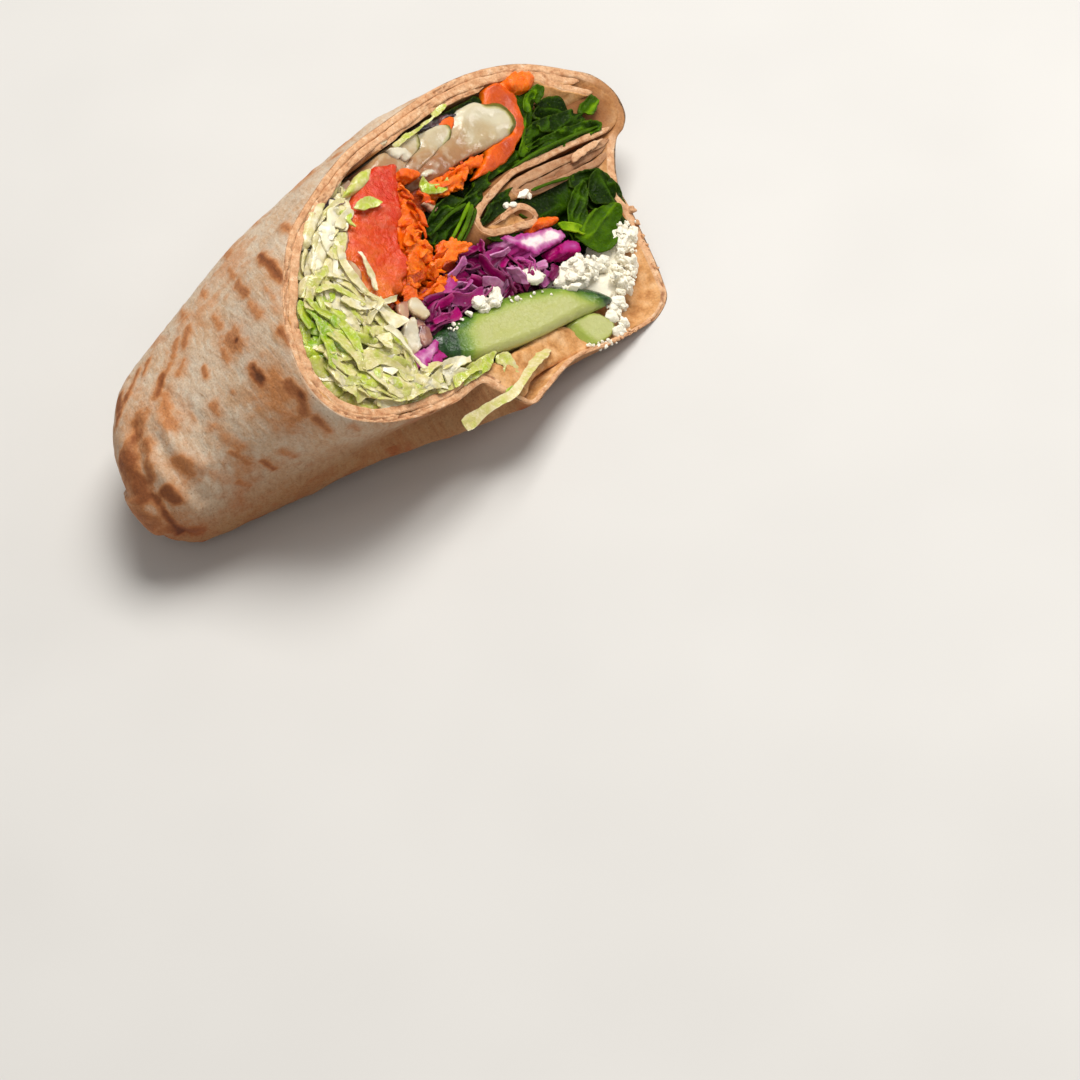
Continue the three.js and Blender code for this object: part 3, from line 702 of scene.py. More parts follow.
def toasting(outer, S, A):
    """How toasted the outside is, from 0 to 1."""
    around = np.where(A < -160, A + 360, A) * DEGREE
    warp = 0.5 * noise(outer, 5, 10) + 0.55 * noise(outer, 2.6, 11) + 0.4 * noise(outer, 1.2, 12)
    warp = warp + 0.2 * noise(outer, 0.6, 13)
    toast = np.zeros(S.shape)
    for line, width, strength in body_spots():
        line = np.asarray(line, float) * (1, DEGREE)
        if len(line) == 1:
            line = np.vstack([line, line + 0.01])
        close = (np.abs(S - line[:, 0].mean()) < 14) & (np.abs(around - line[:, 1].mean()) < 26)
        d = near(S[close], around[close], line) / width + warp[close] * 0.95
        toast[close] = np.maximum(toast[close], strength * (
            0.6 * smoothstep(-d, -1.5, 0.1) + 0.4 * smoothstep(-d, -3.2, -0.4)))
    clouds = 0.3 * smoothstep(noise(outer * (1, 0.5, 0.5), 4.6, 21) + 0.5 * noise(outer, 1.8, 22), 0.0, 1.0)
    end = smoothstep(-S, *TAIL_TOAST) * (0.17 + 0.24 * noise(outer, 5, 23) + 0.1 * noise(outer, 1.6, 24))
    return np.maximum(toast, np.maximum(clouds, end))


def fissures(along_rim, across, seed):
    """Thin cracks that run along a cut edge of bread, from 0 to 1."""
    place = np.stack([along_rim / FISSURE_LENGTH, across / FISSURE_WIDTH, 0 * across], -1)
    value = np.abs(noise(place, 1.0, seed) + 0.25 * noise(place * (8, 2, 1), 1.0, seed + 1))
    broken = smoothstep(noise(place * (1, 0.2, 1), 1.3, seed + 2), -0.15, 0.2)
    return (1 - smoothstep(value, 0.02, 0.16)) * broken


RIM_PROFILE = (  # across the rim: share of the layer's thickness, and how far it lies back
    (0.03, 0.22), (0.12, 0.04), (0.25, -0.04), (0.38, 0), (0.5, 0.02), (0.62, -0.03), (0.75, 0), (0.88, 0.05),
    (0.97, 0.22),
)


def make_body():
    piece = Piece("toast", "cut", "inner", "crack", "along", "around", "under")
    u, v = rim_curve[:, 0], rim_curve[:, 1]
    into = inward(3)
    station, angle, _ = roll_terms(u, v)
    ways = 1 - (1 - np.linspace(0, 1, BODY_ROWS)) ** BODY_CROWDING
    W, _ = np.meshgrid(ways, u, indexing="ij")
    shape = W.shape
    outer = roll_point(np.broadcast_to(u, shape), np.broadcast_to(v, shape), W,
                       rounding(W, TAIL_ROUNDING_START, 1))
    S = lerp(np.broadcast_to(station, shape), TAIL_STATION, W)
    A = np.broadcast_to(np.degrees(angle), shape)
    toast = toasting(outer, S, A)
    lift = 0.6 * double_noise(outer, 26, 3) + 0.24 * double_noise(outer, 8, 4)
    lift = lift + 0.1 * noise(outer * (1, 0.4, 0.4), 1.3, 5) + 0.06 * noise(outer, 1.1, 6)
    blister = 0.16 * smoothstep(toast, 0.1, 0.55)
    lift = lift * smoothstep(W, 0.0, 0.1) + blister - 0.16 * smoothstep(toast, 0.6, 1)
    around = np.where(A < -90, A + 360, A) * DEGREE
    for line, depth, width in CREASES:
        best = near(S, around, np.asarray(line, float) * (1, DEGREE))
        lift = lift - depth * np.exp(-(best / width) ** 2)
    outer = outer + normals_of(outer) * lift[..., None] * outward_sign(outer)
    # The rim: across the layer, with cracks, and then down the inside.
    along_rim = np.arange(RIM_SAMPLES) * np.linalg.norm(np.diff(rim_curve, axis=0), axis=1).mean()
    ragged = 0.4 * noise(at_cut(u, v), 3.2, 31) + 0.12 * noise(at_cut(u, v), 1.1, 32)
    layer = LAYER * (1 - FLAP_THINNING * smoothstep(u, 6, 20) * smoothstep(-v, -14, 2))
    rim_rows, cracks = [], []
    for share, drop in RIM_PROFILE:
        place = rim_curve + into * (layer * share)[:, None]
        crack = fissures(along_rim, layer * share, 34)
        rough = 0.07 * noise(at_cut(place[:, 0], place[:, 1]), 0.8, 33)
        rim_rows.append(above_floor(
            at_cut(place[:, 0], place[:, 1], -drop + ragged * 0.6 + rough - 0.35 * crack), layer * share))
        cracks.append(crack)
    edge = rim_curve + into * layer[:, None]
    W2, _ = np.meshgrid(np.linspace(0.006, LINING_DEPTH, LINING_ROWS), u, indexing="ij")
    lining = roll_point(np.broadcast_to(edge[:, 0], W2.shape), np.broadcast_to(edge[:, 1], W2.shape), W2)
    waves = 0.35 * noise(lining, 4, 8) + 0.12 * noise(lining, 1.2, 9)
    lining = lining + normals_of(lining) * waves[..., None]
    lining = above_floor(lining, layer)
    rows = np.concatenate([outer[::-1], np.stack(rim_rows), lining])
    n_rows, n = rows.shape[:2]
    start, stop = BODY_ROWS, BODY_ROWS + len(rim_rows)
    fields = {name: np.zeros((n_rows, n)) for name in piece.fields}
    fields["toast"][:start] = toast[::-1]
    # Painted shade: near the nose the rim takes the lining colour, and the rim and the lining there are
    # darkened, for the shade inside the nose.
    nose = smoothstep(u, 30, 37) * smoothstep(v, 40, 45)
    fields["cut"][start:stop] = 1.0 - 0.8 * nose
    fields["inner"][start:stop] = 0.9 * nose
    fields["toast"][start:stop] = 0.55 * nose
    fields["cut"][start - 1] = 0.5
    # The under field marks where the skin darkens as painted shade on the underside.
    fields["under"][:start] = smoothstep(around, *UNDERSIDE)[::-1]
    fields["crack"][start:stop] = np.stack(cracks)
    fields["inner"][stop:] = 1.0
    fields["toast"][stop:] = 0.55 * smoothstep(u, 22, 31) * smoothstep(v, 30, 40)
    for name, value in (("along", S), ("around", around)):
        fields[name][:start] = value[::-1]
        fields[name][start:] = value[0]
    points = np.vstack([rows.reshape(-1, 3), rows[0].mean(0), rows[-1].mean(0)])
    tail = fan(np.arange(n), n_rows * n)
    back = fan((n_rows - 1) * n + np.arange(n), n_rows * n + 1, flip=True)
    values = {
        name: np.append(value.ravel(), [value[0].mean(), value[-1].mean()]) for name, value in fields.items()}
    piece.add(points, grid(n_rows, n, close_columns=True)[:, ::-1], np.vstack([tail, back]), **values)
    return piece


def above_floor(points, height):
    """The points, raised where they are lower than a height over the floor."""
    points[..., 2] = np.maximum(points[..., 2], FLOOR + height)
    return points


def outward_sign(points):
    """1 or -1, so that the grid's normals point away from its middle."""
    n = normals_of(points)
    middle = points.mean((0, 1))
    return 1.0 if ((points - middle) * n).sum() > 0 else -1.0


SHEET_ROWS = 26
SHEET_STEP = 0.5
CUT_PROFILE = (  # across the cut edge of a sheet: share of its half thickness, and how far it lies back
    (0.97, 0.25), (0.8, 0.03), (0.55, -0.04), (0.28, 0.02), (0, 0.0),
    (-0.28, 0.02), (-0.55, -0.04), (-0.8, 0.03), (-0.97, 0.25),
)


def add_sheet(piece, line, half, depth, seed, edge_noise=0.3, level=0.0, toast=0.0, stain=None):
    """A thick sheet of bread whose edge at the cut follows a line, and which runs back into the roll.

    toast is how dark the edge is, and stain how dark its sides are, if that differs; the pleats use them for
    painted shade between the folds.
    """
    line = np.asarray(line, float)
    samples = int(np.linalg.norm(np.diff(line, axis=0), axis=1).sum() / SHEET_STEP)
    line = even(open_curve(line, samples * 6), samples)
    tangent = unit(np.gradient(line, axis=0))
    across = np.stack([-tangent[:, 1], tangent[:, 0]], 1)
    flat = at_cut(line[:, 0], line[:, 1])
    thick = half * (1 + 0.22 * noise(flat, 5, seed) + 0.1 * noise(flat, 1.5, seed + 6))
    ends = np.minimum(np.arange(samples), np.arange(samples)[::-1])
    thick = thick * np.minimum(1, 0.35 + ends * 0.22)
    ragged = level + edge_noise * (noise(flat, 2.6, seed + 1) + 0.3 * noise(flat, 0.9, seed + 2))
    backs = np.linspace(1, 0, SHEET_ROWS) ** 1.6 * depth
    loop = [(1, b, 0) for b in backs[:-1]]
    loop += [(off, drop, 1) for off, drop in CUT_PROFILE]
    loop += [(-1, b, 0) for b in backs[:-1][::-1]]
    points, cuts, cracks = [], [], []
    for off, back, cut in loop:
        place = line + across * (thick * off)[:, None]
        crack = fissures(np.arange(samples) * SHEET_STEP, np.full(samples, off * half), seed + 5) * cut
        rough = 0.07 * noise(at_cut(place[:, 0], place[:, 1]), 0.8, seed + 3) * cut
        front = -back + ragged * np.exp(-back / 3) + rough - 0.35 * crack
        points.append(at_cut(place[:, 0], place[:, 1], front))
        cuts.append(np.full(samples, float(cut)))
        cracks.append(crack)
    points, cuts, cracks = np.stack(points), np.stack(cuts), np.stack(cracks)
    points = points + (0.12 * noise(points, 3, seed + 4))[..., None] * NORMAL
    n_rows, n = points.shape[:2]
    total = n_rows * n
    first, last = np.arange(n_rows) * n, np.arange(n_rows) * n + n - 1
    caps = np.vstack([fan(first, total), fan(last, total + 1, flip=True)])
    everything = np.vstack([points.reshape(-1, 3), points[:, 0].mean(0), points[:, -1].mean(0)])
    cut = np.append(cuts.ravel(), [0.5, 0.5])
    sides = toast if stain is None else stain
    piece.add(everything, grid(n_rows, n, close_rows=True), caps, cut=cut, inner=1 - cut,
              crack=np.append(cracks.ravel(), [0, 0]), toast=lerp(sides, toast, cut))


def offset_line(distance, first, last):
    """Part of the rim's curve, from share first to share last of its samples, moved inwards."""
    place = rim_curve + inward(6) * distance
    start, stop = int(first * RIM_SAMPLES), int(last * RIM_SAMPLES)
    return np.roll(place, -start, 0)[:(stop - start) % RIM_SAMPLES:8]


INNER_LAYER_GAP = 0.12
PLEAT_UPPER = [
    (38.2, 44.8), (36.7, 43.4), (33.2, 40.7), (26.3, 35.3), (19.4, 29.4), (12.1, 23.4), (9, 19.5),
    (5.4, 14.3), (2.4, 9.3), (1.7, 6), (2.8, 4.3), (4.7, 3.8), (8.8, 5.4), (13.2, 8.2), (17.4, 11),
    (17.8, 12.8), (15.7, 13.9), (13.2, 13.6), (10.4, 11.3), (8, 8.1),
]
PLEAT_MIDDLE = [
    (38.2, 41.6), (34.3, 38.3), (30.9, 35.3), (23.9, 29.8), (16.6, 23.7), (13.5, 20.9), (12.2, 18.7),
    (12.9, 17.7), (14.9, 18.6),
]
PLEAT_LOWER = [(38.7, 38.5), (36.6, 35.4), (33.1, 32.4), (26.2, 26.5), (19.4, 21.2), (14.3, 18.3)]
THIRD_LAYER = [
    (-24.8, 16.7), (-20.3, 22), (-16.8, 26.2), (-12.7, 30.8), (-9.6, 33.9), (-6.5, 36.2), (-2.8, 39.7),
    (0.8, 42.4), (4, 44.9),
]
LAYER_TIP = [(15.4, 51.6), (19.4, 52), (24, 51.8), (28.6, 52.6), (31.6, 52.9), (33.7, 53.7)]
PLEAT_INNER = [(38.1, 40.1), (33.2, 35.1), (26.2, 28.9), (19.4, 23.1), (15.4, 20.3)]
FLAP_BREAD = [
    (3.3, -36.1), (8, -30.3), (12, -26.3), (18.2, -21), (23.7, -15.8), (29.3, -11.6), (33.5, -13.1),
    (37.7, -14.9), (33.5, -18.6), (27.9, -21.7), (22.6, -26.7), (18.9, -31.6), (15.8, -36.6), (10, -35.7),
]
NOSE_BREAD = [
    (31.7, 53.1), (34.6, 56.5), (38.9, 55.6), (41.4, 53.4), (42, 50.6), (41.2, 47.5), (39.5, 45.2),
    (36.7, 42.7), (35.3, 43.8), (33.9, 46.2), (33.3, 48.9), (32.6, 51.1),
]
FLAKE = [(27.0, 32.1), (27.5, 30.6), (31.7, 35.1), (35.9, 40.3), (32.6, 38.2)]


def nose_front(u, v):
    """The lining of the nose, which sinks away from the rim."""
    sink = 0.09 * np.maximum(near(u, v, rim_curve) - 1.6, 0) ** 1.6
    return -0.35 - sink + 0.2 * noise(place_of(u, v), 3, 76)


def make_inner_bread():
    piece = Piece("toast", "cut", "inner", "crack", "along", "around")
    first, last = nearest_share((2, -38.5)) + 0.004, nearest_share((33.5, 58.5))
    line = offset_line(LAYER + INNER_LAYER_GAP + 0.85, first, last)
    wander = noise(place_of(line[:, 0], line[:, 1]), 9, 41) * 0.3
    line = np.vstack([[(8.5, -35.2), (5, -34.6)], line + wander[:, None] * (0.7, 0.7)])
    add_sheet(piece, line, 0.95, 42, seed=40)
    add_sheet(piece, LAYER_TIP, 1.0, 30, seed=43, level=0.2)
    add_sheet(piece, THIRD_LAYER, 1.0, 30, seed=45, level=-0.5, edge_noise=0.5)
    # Painted shade: the deeper pleats have darker edges, and the upper pleat darker sides, for the shade
    # between the folds; those sides also stand for moist, stained bread.
    add_sheet(piece, PLEAT_UPPER, 0.85, 34, seed=50, level=0.4, toast=0.12, stain=0.85)
    add_sheet(piece, PLEAT_MIDDLE, 1.0, 34, seed=55, level=-0.1, toast=0.5)
    add_sheet(piece, PLEAT_INNER, 0.95, 34, seed=58, level=-0.5, toast=0.75)
    add_sheet(piece, PLEAT_LOWER, 0.85, 34, seed=60, level=-0.5, toast=0.6)
    # Painted shade: the nose's lining darkens away from the rim, deeper into the nose.
    add_slab(piece, NOSE_BREAD, nose_front, 9, samples=110, spacing=0.4, bevel=0.3, relief=0.15, seed=77,
             inner=1.0, toast=lambda u, v, e: 0.5 + 0.42 * smoothstep(near(u, v, rim_curve), 1.5, 5))
    add_slab(piece, FLAP_BREAD, bumpy(-1.4, 0.5, 5, 64, (20, -20), (0.0, -0.05)), 8, samples=110, spacing=0.6,
             bevel=0.8, ragged=0.3, relief=0.2, seed=65, inner=1.0)
    add_slab(piece, PLEAT_UPPER[12:], bumpy(-1.2, 0.4, 3, 69), 3, samples=60, spacing=0.4, bevel=0.2,
             ragged=0.1, relief=0.2, seed=68, inner=1.0)
    add_slab(piece, FLAKE, bumpy(0.9, 0.3, 3, 66), 0, samples=60, spacing=0.4, bevel=0.0, ragged=0.2,
             relief=0.1, seed=67, thin=0.5, cut=0.9, inner=0.1)
    return piece


def nearest_share(place):
    return int(np.argmin(np.linalg.norm(rim_curve - np.asarray(place), axis=1))) / RIM_SAMPLES


make_body().build("wrap_body", BREAD, "bread", ["tortilla"])
make_inner_bread().build("wrap_layers", BREAD, "bread")

# ---- Solid pieces of the filling ----


TOMATO_OUTLINE = [
    (-25.6, 11.1), (-23.3, 12.6), (-20.1, 13.8), (-19, 10.2), (-18.7, 5.6), (-17.8, 1.8), (-18.5, -2.9),
    (-18.1, -6.2), (-16.4, -9.5), (-15.4, -11.2), (-16.1, -14.3), (-16.9, -16), (-16.4, -18.4),
    (-18.8, -19.8), (-18.8, -22.7), (-21.6, -23.9), (-24.3, -24.2), (-25.8, -22.3), (-27.8, -20.1),
    (-29.8, -17.8), (-31.6, -16.7), (-33.8, -16.3), (-31.7, -12.2), (-31.9, -9.3), (-31.7, -6.3),
    (-31.1, -3.2), (-30, 0.6), (-28.6, 5.2), (-27.1, 8.7),
]
PICKLES = {
    "pickle_left": dict(
        outline=[(-23.7, 13.4), (-22.9, 15.7), (-21.2, 18), (-19.2, 18.9), (-16.7, 22.5), (-14.4, 25.1),
          (-12.6, 26.4), (-11.5, 25.4), (-11.3, 23.1), (-12.5, 21), (-14, 18.4), (-15.3, 15.8),
          (-16.2, 13.6), (-19.1, 13.1), (-21.6, 13)],
        skin=[(-12.4, 26.6), (-11.3, 25.2), (-11, 22.9), (-11.3, 22.1)],
        level=-0.9,
        slope=(0.02, -0.02),
    ),
    "pickle_middle": dict(
        outline=[(-11.5, 22.2), (-10.9, 25.4), (-9.3, 28.1), (-7.4, 29.6), (-5.5, 30), (-4.4, 28.2),
          (-4.6, 26.1), (-6.8, 23.6), (-9.1, 20.4), (-11.4, 17.1), (-13.3, 14.3), (-15.7, 14),
          (-14.5, 17.6), (-13, 20.3)],
        skin=[(-5.6, 30.2), (-4.5, 28.8), (-4.3, 26.9), (-4.8, 25.3)],
        level=-0.4,
        slope=(0.03, 0.0),
    ),
    "pickle_right": dict(
        outline=[(-3.2, 30.6), (-2.8, 33.2), (-2.2, 35.3), (0.4, 37.9), (2.7, 38.2), (6.2, 39.8),
          (8.9, 39.9), (10.6, 38.3), (11.4, 35.5), (10.8, 33.6), (8.9, 31.3), (4.7, 27.4), (1, 24.5),
          (-2.6, 20.8), (-6.2, 16.5), (-9, 14.3), (-12.8, 13.7), (-11.9, 15.9), (-9.9, 19.3), (-7.4, 23.1),
          (-4.8, 26.5), (-3.8, 29)],
        skin=[(3.3, 38.9), (6.7, 40), (9.4, 39.8), (10.9, 37.8), (11.6, 35.3), (10.9, 33.4)],
        level=0.4,
        slope=(0.02, 0.02),
    ),
}
PICKLE_OVERLAP = 1.05  # neighbours overlap a little, so that no gap shows between them
CUCUMBER_OUTLINE = [
    (-8.6, -28.9), (-6.1, -24.8), (-2.8, -21.7), (1.2, -19.1), (5.9, -15.2), (12.1, -10.8), (17.6, -7.7),
    (23.2, -5), (30.2, -3.2), (35.9, -2.8), (38.8, -3.4), (38.3, -4.6), (34.4, -7.6), (30.2, -10.7),
    (23.2, -16.4), (16.2, -21.8), (9.4, -26.3), (4, -29.7), (-1.3, -32.1), (-6, -33.4), (-8, -31.4),
]
CUCUMBER_SKIN_TOP = [(22.3, -5.4), (28, -3.5), (33.6, -2.5), (38.3, -3.7)]
CUCUMBER_END = [(30.7, -10.9), (35, -8), (39.2, -9.4), (40.1, -11.3), (37, -14.8), (34.2, -13.9)]


def cucumber_skin(u, v, e):
    left = smoothstep(-(u + 0.35 * (v + 29)), 0.6, 4.4)
    top = 1 - smoothstep(near(u, v, CUCUMBER_SKIN_TOP) / (0.35 + 0.65 * smoothstep(u, 22, 38)), 0.7, 3.2)
    return np.clip(left + top * 1.2, 0, 1)


def cucumber_tone(u, v, e):
    left = smoothstep(-(u + 0.35 * (v + 29)), -6, 2.0)
    top = 1 - smoothstep(near(u, v, [(-2, -21), (12, -10.6), (24, -4.6), (39, -3)]), 0.5, 4.5)
    return np.clip(0.9 * left + 0.8 * top + 0.4 * smoothstep(u, 24, 38), 0, 1)


def tomato_tone(u, v, e):
    return np.clip(0.22 - 0.016 * (v + 4) - 0.018 * (u + 24), 0.0, 0.7) + 0.25 * smoothstep(-v, 12, 22)


def make_solids():
    piece = Piece("tone")
    add_slab(
        piece, TOMATO_OUTLINE, bumpy(0.5, 0.8, 7, 71, (-25, -8), (0.02, 0.02)), 14, samples=200, spacing=0.42,
        bevel=0.9, ragged=0.35, relief=0.26, relief_size=1.4, seed=70,
        tone=tomato_tone)
    piece.build("tomato_wedge", TOMATO, "tomato_flesh", ["tomato"])
    for name, facts in PICKLES.items():
        piece = Piece("tone", "skin")
        middle = np.mean(facts["outline"], 0)
        outline = middle + (np.array(facts["outline"]) - middle) * PICKLE_OVERLAP
        add_slab(
            piece, outline, bumpy(facts["level"], 0.6, 5, 80, middle, facts["slope"]), 14, samples=140,
            spacing=0.45, bevel=0.6, ragged=0.16, relief=0.14, relief_size=2.6, seed=81,
            skin=lambda u, v, e: 1 - smoothstep(near(u, v, facts["skin"]), 0.5, 2.2),
            tone=lambda u, v, e: 0.34 + 0.055 * (middle[1] - v) + 0.12 * noise(place_of(u, v), 4, 82))
        piece.build(name + "_piece", PICKLE, "pickle_flesh", [name])
    piece = Piece("tone", "skin")
    add_slab(
        piece, CUCUMBER_OUTLINE, bumpy(1.0, 0.35, 9, 90, (15, -17), (0.0, 0.03)), 14, samples=220,
        bevel=1.3, ragged=0.1, relief=0.09, relief_size=2.5, seed=91, tone=cucumber_tone, skin=cucumber_skin)
    piece.build("cucumber_slice", CUCUMBER, "cucumber_flesh", ["cucumber"])
    piece = Piece("tone", "skin")
    add_slab(piece, CUCUMBER_END, bumpy(-0.6, 0.3, 4, 95, (35, -12), (0.1, 0.12)), 1.6, samples=70, bevel=0.3,
             seed=96, tone=lambda u, v, e: 0.05 + 0.4 * (1 - smoothstep(e, 0.1, 0.8)))
    piece.build("cucumber_end_slice", CUCUMBER, "cucumber_flesh", ["cucumber_end"])


make_solids()

# ---- Shreds ----


class Heap:
    """Heights of what lies in the cut, so that each new shred rests on the ones below."""

    CELL = 0.4
    LOW = np.array((-52.0, -62.0))
    SIZE = (280, 310)

    def __init__(self, floor, region):
        self.heights = np.full(self.SIZE, float(floor))
        lines = (self.LOW[k] + self.CELL * np.arange(self.SIZE[k]) for k in (0, 1))
        self.places = np.meshgrid(*lines, indexing="ij")
        self.within = inside(*self.places, region)

    def _cells(self, u, v):
        i = np.clip(((u - self.LOW[0]) / self.CELL + 0.5).astype(int), 0, self.SIZE[0] - 1)
        j = np.clip(((v - self.LOW[1]) / self.CELL + 0.5).astype(int), 0, self.SIZE[1] - 1)
        return i, j

    def holds(self, path):
        return self.within[self._cells(path[:, 0], path[:, 1])].all()

    def read(self, u, v):
        return self.heights[self._cells(u, v)]

    def raise_to(self, u, v, level):
        np.maximum.at(self.heights, self._cells(u, v), level)

    def cover(self, outline, level):
        under = inside(*self.places, outline)
        self.heights[under] = np.maximum(self.heights[under], level)


SECTIONS = {
    "strip": [(-0.5, 0), (-0.25, 0.5), (0.25, 0.5), (0.5, 0), (0.25, -0.5), (-0.25, -0.5)],
    "shred": [
        (-0.5, 0.3), (-0.2, 0.5), (0.25, 0.42), (0.5, 0.3), (0.5, -0.35), (0.05, -0.5), (-0.5, -0.3),
    ],
}


def add_strip(piece, centre, wide, high, width, thick, section_name="strip", curl=0.0, rough=0.0, seed=0,
              edge=0.0, slant=0.0, **fields):
    """A closed strip along centre, a line of points; wide and high are its section's directions.

    slant is how obliquely its ends are cut.
    """
    section_points = SECTIONS[section_name]
    n, k = len(centre), len(section_points)
    ends = np.minimum(np.arange(n), np.arange(n)[::-1])
    width = width * np.clip(0.82 + 0.2 * ends, 0, 1) * (1 + 0.2 * noise(centre + seed, 2.2, seed))
    forward = unit(np.gradient(centre, axis=0))
    rows = [centre + (wide + forward * slant) * (x * width)[:, None] + high * (y * thick + curl * x * x * 4)
            for x, y in section_points]
    points = np.stack(rows, 1)
    if rough:
        points = points + rough * noise(points, 0.9, seed)[..., None] * wide[:, None]
        points = points + rough * noise(points, 0.8, seed + 5)[..., None] * high[:, None]
    everything = np.vstack([points.reshape(-1, 3), points[0].mean(0), points[-1].mean(0)])
    quads = grid(n, k, close_columns=True)
    tris = np.vstack([fan(np.arange(k), n * k), fan((n - 1) * k + np.arange(k), n * k + 1, flip=True)])
    # The sides are marked as edge; the lettuce paints them lighter as light through the thin edges, while the
    # cabbage's pale edges are its own colour.
    side = np.array([abs(x) >= 0.5 for x, _ in section_points], float)
    fields["edge"] = edge * np.append(np.tile(side, n), [1, 1])
    piece.add(everything, quads[:, ::-1], tris[:, ::-1], **{k: fields[k] for k in piece.fields})


def lay_strip(piece, path, level, lean, width, thick, **settings):
    """A strip along a path of places at the cut, leaning about its own line."""
    centre = at_cut(path[:, 0], path[:, 1], level)
    tangent = unit(np.gradient(centre, axis=0))
    flat = unit(np.cross(NORMAL, tangent))
    up = np.cross(tangent, flat)
    lean = np.broadcast_to(lean, len(centre))[:, None]
    add_strip(piece, centre, flat * np.cos(lean) + up * np.sin(lean), up * np.cos(lean) - flat * np.sin(lean),
              width, thick, **settings)


PILE_TRIES = 12  # tries for each shred that is wanted
CHOP_TRIES = 14
SETTLING = 14  # rounds in which a shred sags onto what lies under it


def pile(piece, heap, region, count, draw, length, width, thick, ceiling, flow, spread, tone, bend, tilt,
         curl, steps=11, **settings):
    """Lays shreds in a region, each on what lies there already, until count of them fit."""
    low, high = np.min(region, 0), np.max(region, 0)
    placed = 0
    for _ in range(count * PILE_TRIES):
        if placed >= count:
            break
        start = np.array((draw.uniform(low[0], high[0]), draw.uniform(low[1], high[1])))
        if not heap.holds(start[None]):
            continue
        size = draw.uniform(*length)
        angle = flow(start) + draw.gauss(0, spread)
        turn = draw.gauss(0, bend)
        ways = np.linspace(-0.5, 0.5, steps) * size
        angles = angle + turn * ways + 0.25 * np.sin(ways * draw.uniform(0.3, 0.8) + draw.uniform(0, 6))
        path = np.cumsum(np.stack([np.cos(angles), np.sin(angles)], 1) * size / (steps - 1), 0)
        path = path - path[steps // 2] + start
        if not heap.holds(path):
            continue
        w, t = draw.uniform(*width), draw.uniform(*thick)
        lateral = np.stack([-np.sin(angles), np.cos(angles)], 1)
        lean = draw.gauss(0, tilt)
        reach = 0.5 * w * abs(math.cos(lean))
        base = np.max([heap.read(*(path + lateral * k * reach).T) for k in (-0.8, -0.3, 0.3, 0.8)], 0)
        level = base.copy()
        for _ in range(SETTLING):
            middle = 0.5 * (np.roll(level, 1) + np.roll(level, -1))
            middle[0], middle[-1] = level[1] - 0.1, level[-2] - 0.1
            level = np.maximum(base, middle - 0.02)
        level = level + 0.5 * t
        top = ceiling(start) if callable(ceiling) else ceiling
        if level.mean() > top or level.max() > top + 1.0:
            continue
        level = level + 0.4 * w * abs(math.sin(lean))
        for k in (-1, -0.5, 0, 0.5, 1):
            heap.raise_to(*(path + lateral * k * reach).T, level + 0.35 * t)
        leans = lean + draw.gauss(0, 0.35) * np.linspace(-1, 1, steps)
        lay_strip(piece, path, level, leans, w, t, curl=draw.uniform(-curl, curl), seed=placed,
                  slant=draw.uniform(-0.7, 0.7), tone=tone(start, draw), **settings)
        placed += 1


def chop(piece, heap, region, count, draw, sizes, ceiling, flow, tone, seed):
    """Lays flat, irregular bits of leaf on what lies in a region already."""
    low, high = np.min(region, 0), np.max(region, 0)
    placed = 0
    for _ in range(count * CHOP_TRIES):
        if placed >= count:
            break
        centre = np.array((draw.uniform(low[0], high[0]), draw.uniform(low[1], high[1])))
        size, slim, corners = draw.uniform(*sizes), draw.uniform(0.35, 0.75), draw.randint(5, 7)
        turn = flow(centre) + draw.gauss(0, 0.7)
        ways = [(k + draw.uniform(-0.3, 0.3)) / corners * math.tau for k in range(corners)]
        reach = [size * draw.uniform(0.65, 1.15) for _ in ways]
        outline = np.array([
            (r * math.cos(a) * math.cos(turn) - r * slim * math.sin(a) * math.sin(turn),
             r * math.cos(a) * math.sin(turn) + r * slim * math.sin(a) * math.cos(turn))
            for a, r in zip(ways, reach)]) + centre
        if not heap.holds(outline):
            continue
        marks = np.vstack([outline, centre, (outline + centre) / 2])
        level = float(np.quantile(heap.read(*marks.T), 0.75)) + 0.2
        if level > ceiling:
            continue
        slope = (draw.gauss(0, 0.12), draw.gauss(0, 0.12))
        base, gain, way = tone(centre, draw), draw.uniform(0.0, 0.12), draw.uniform(0, math.tau)
        add_slab(
            piece, outline, bumpy(level, 0.6, 2.6, seed + placed, centre, slope), 0, samples=54, spacing=0.5,
            bevel=0.15, ragged=0.2, ragged_size=1.3, relief=0.12, seed=seed + 3 * placed, thin=0.5,
            tone=lambda u, v, e: (
                base + gain * ((u - centre[0]) * math.cos(way) + (v - centre[1]) * math.sin(way))),
            edge=lambda u, v, e: 1 - smoothstep(e, 0, 0.5))
        heap.raise_to(marks[:, 0], marks[:, 1], level + 0.3)
        placed += 1


LETTUCE_REGION = [
    (-25.6, 13.8), (-27.5, 11.8), (-30, 6.7), (-33.2, 2.9), (-37, -3.9), (-39.3, -9), (-41, -14.2),
    (-42.5, -20.5), (-42.8, -25.4), (-42.8, -30.1), (-42, -34.4), (-40.6, -39.6), (-38.3, -44),
    (-35, -47.5), (-31.8, -50), (-28.4, -51.4), (-23.3, -51.2), (-19.4, -50.1), (-14.3, -47.5), (-9.1, -44),
    (-2.6, -39.5), (0.6, -36.6), (1.5, -34.5), (0, -32.9), (-3.3, -32.6), (-6.6, -35), (-9.2, -36.5),
    (-12, -36.5), (-14, -35.5), (-15.5, -33.5), (-16.8, -29), (-18.9, -23.2), (-22.6, -23.7),
    (-26.6, -21.7), (-29.9, -20.1), (-32.6, -16.5), (-33.2, -13.8), (-32.7, -8.4), (-31.5, -1),
    (-29.5, 2.6), (-27, 8.3), (-24.5, 12.6),
]


def lettuce_flow(place):
    """Shreds run along the wall on the left and round the bottom, and cross each other in between."""
    u, v = place
    return math.atan2(u + 18, -(v + 22)) + (0.0 if u < -36 or v < -43 else 0.5)


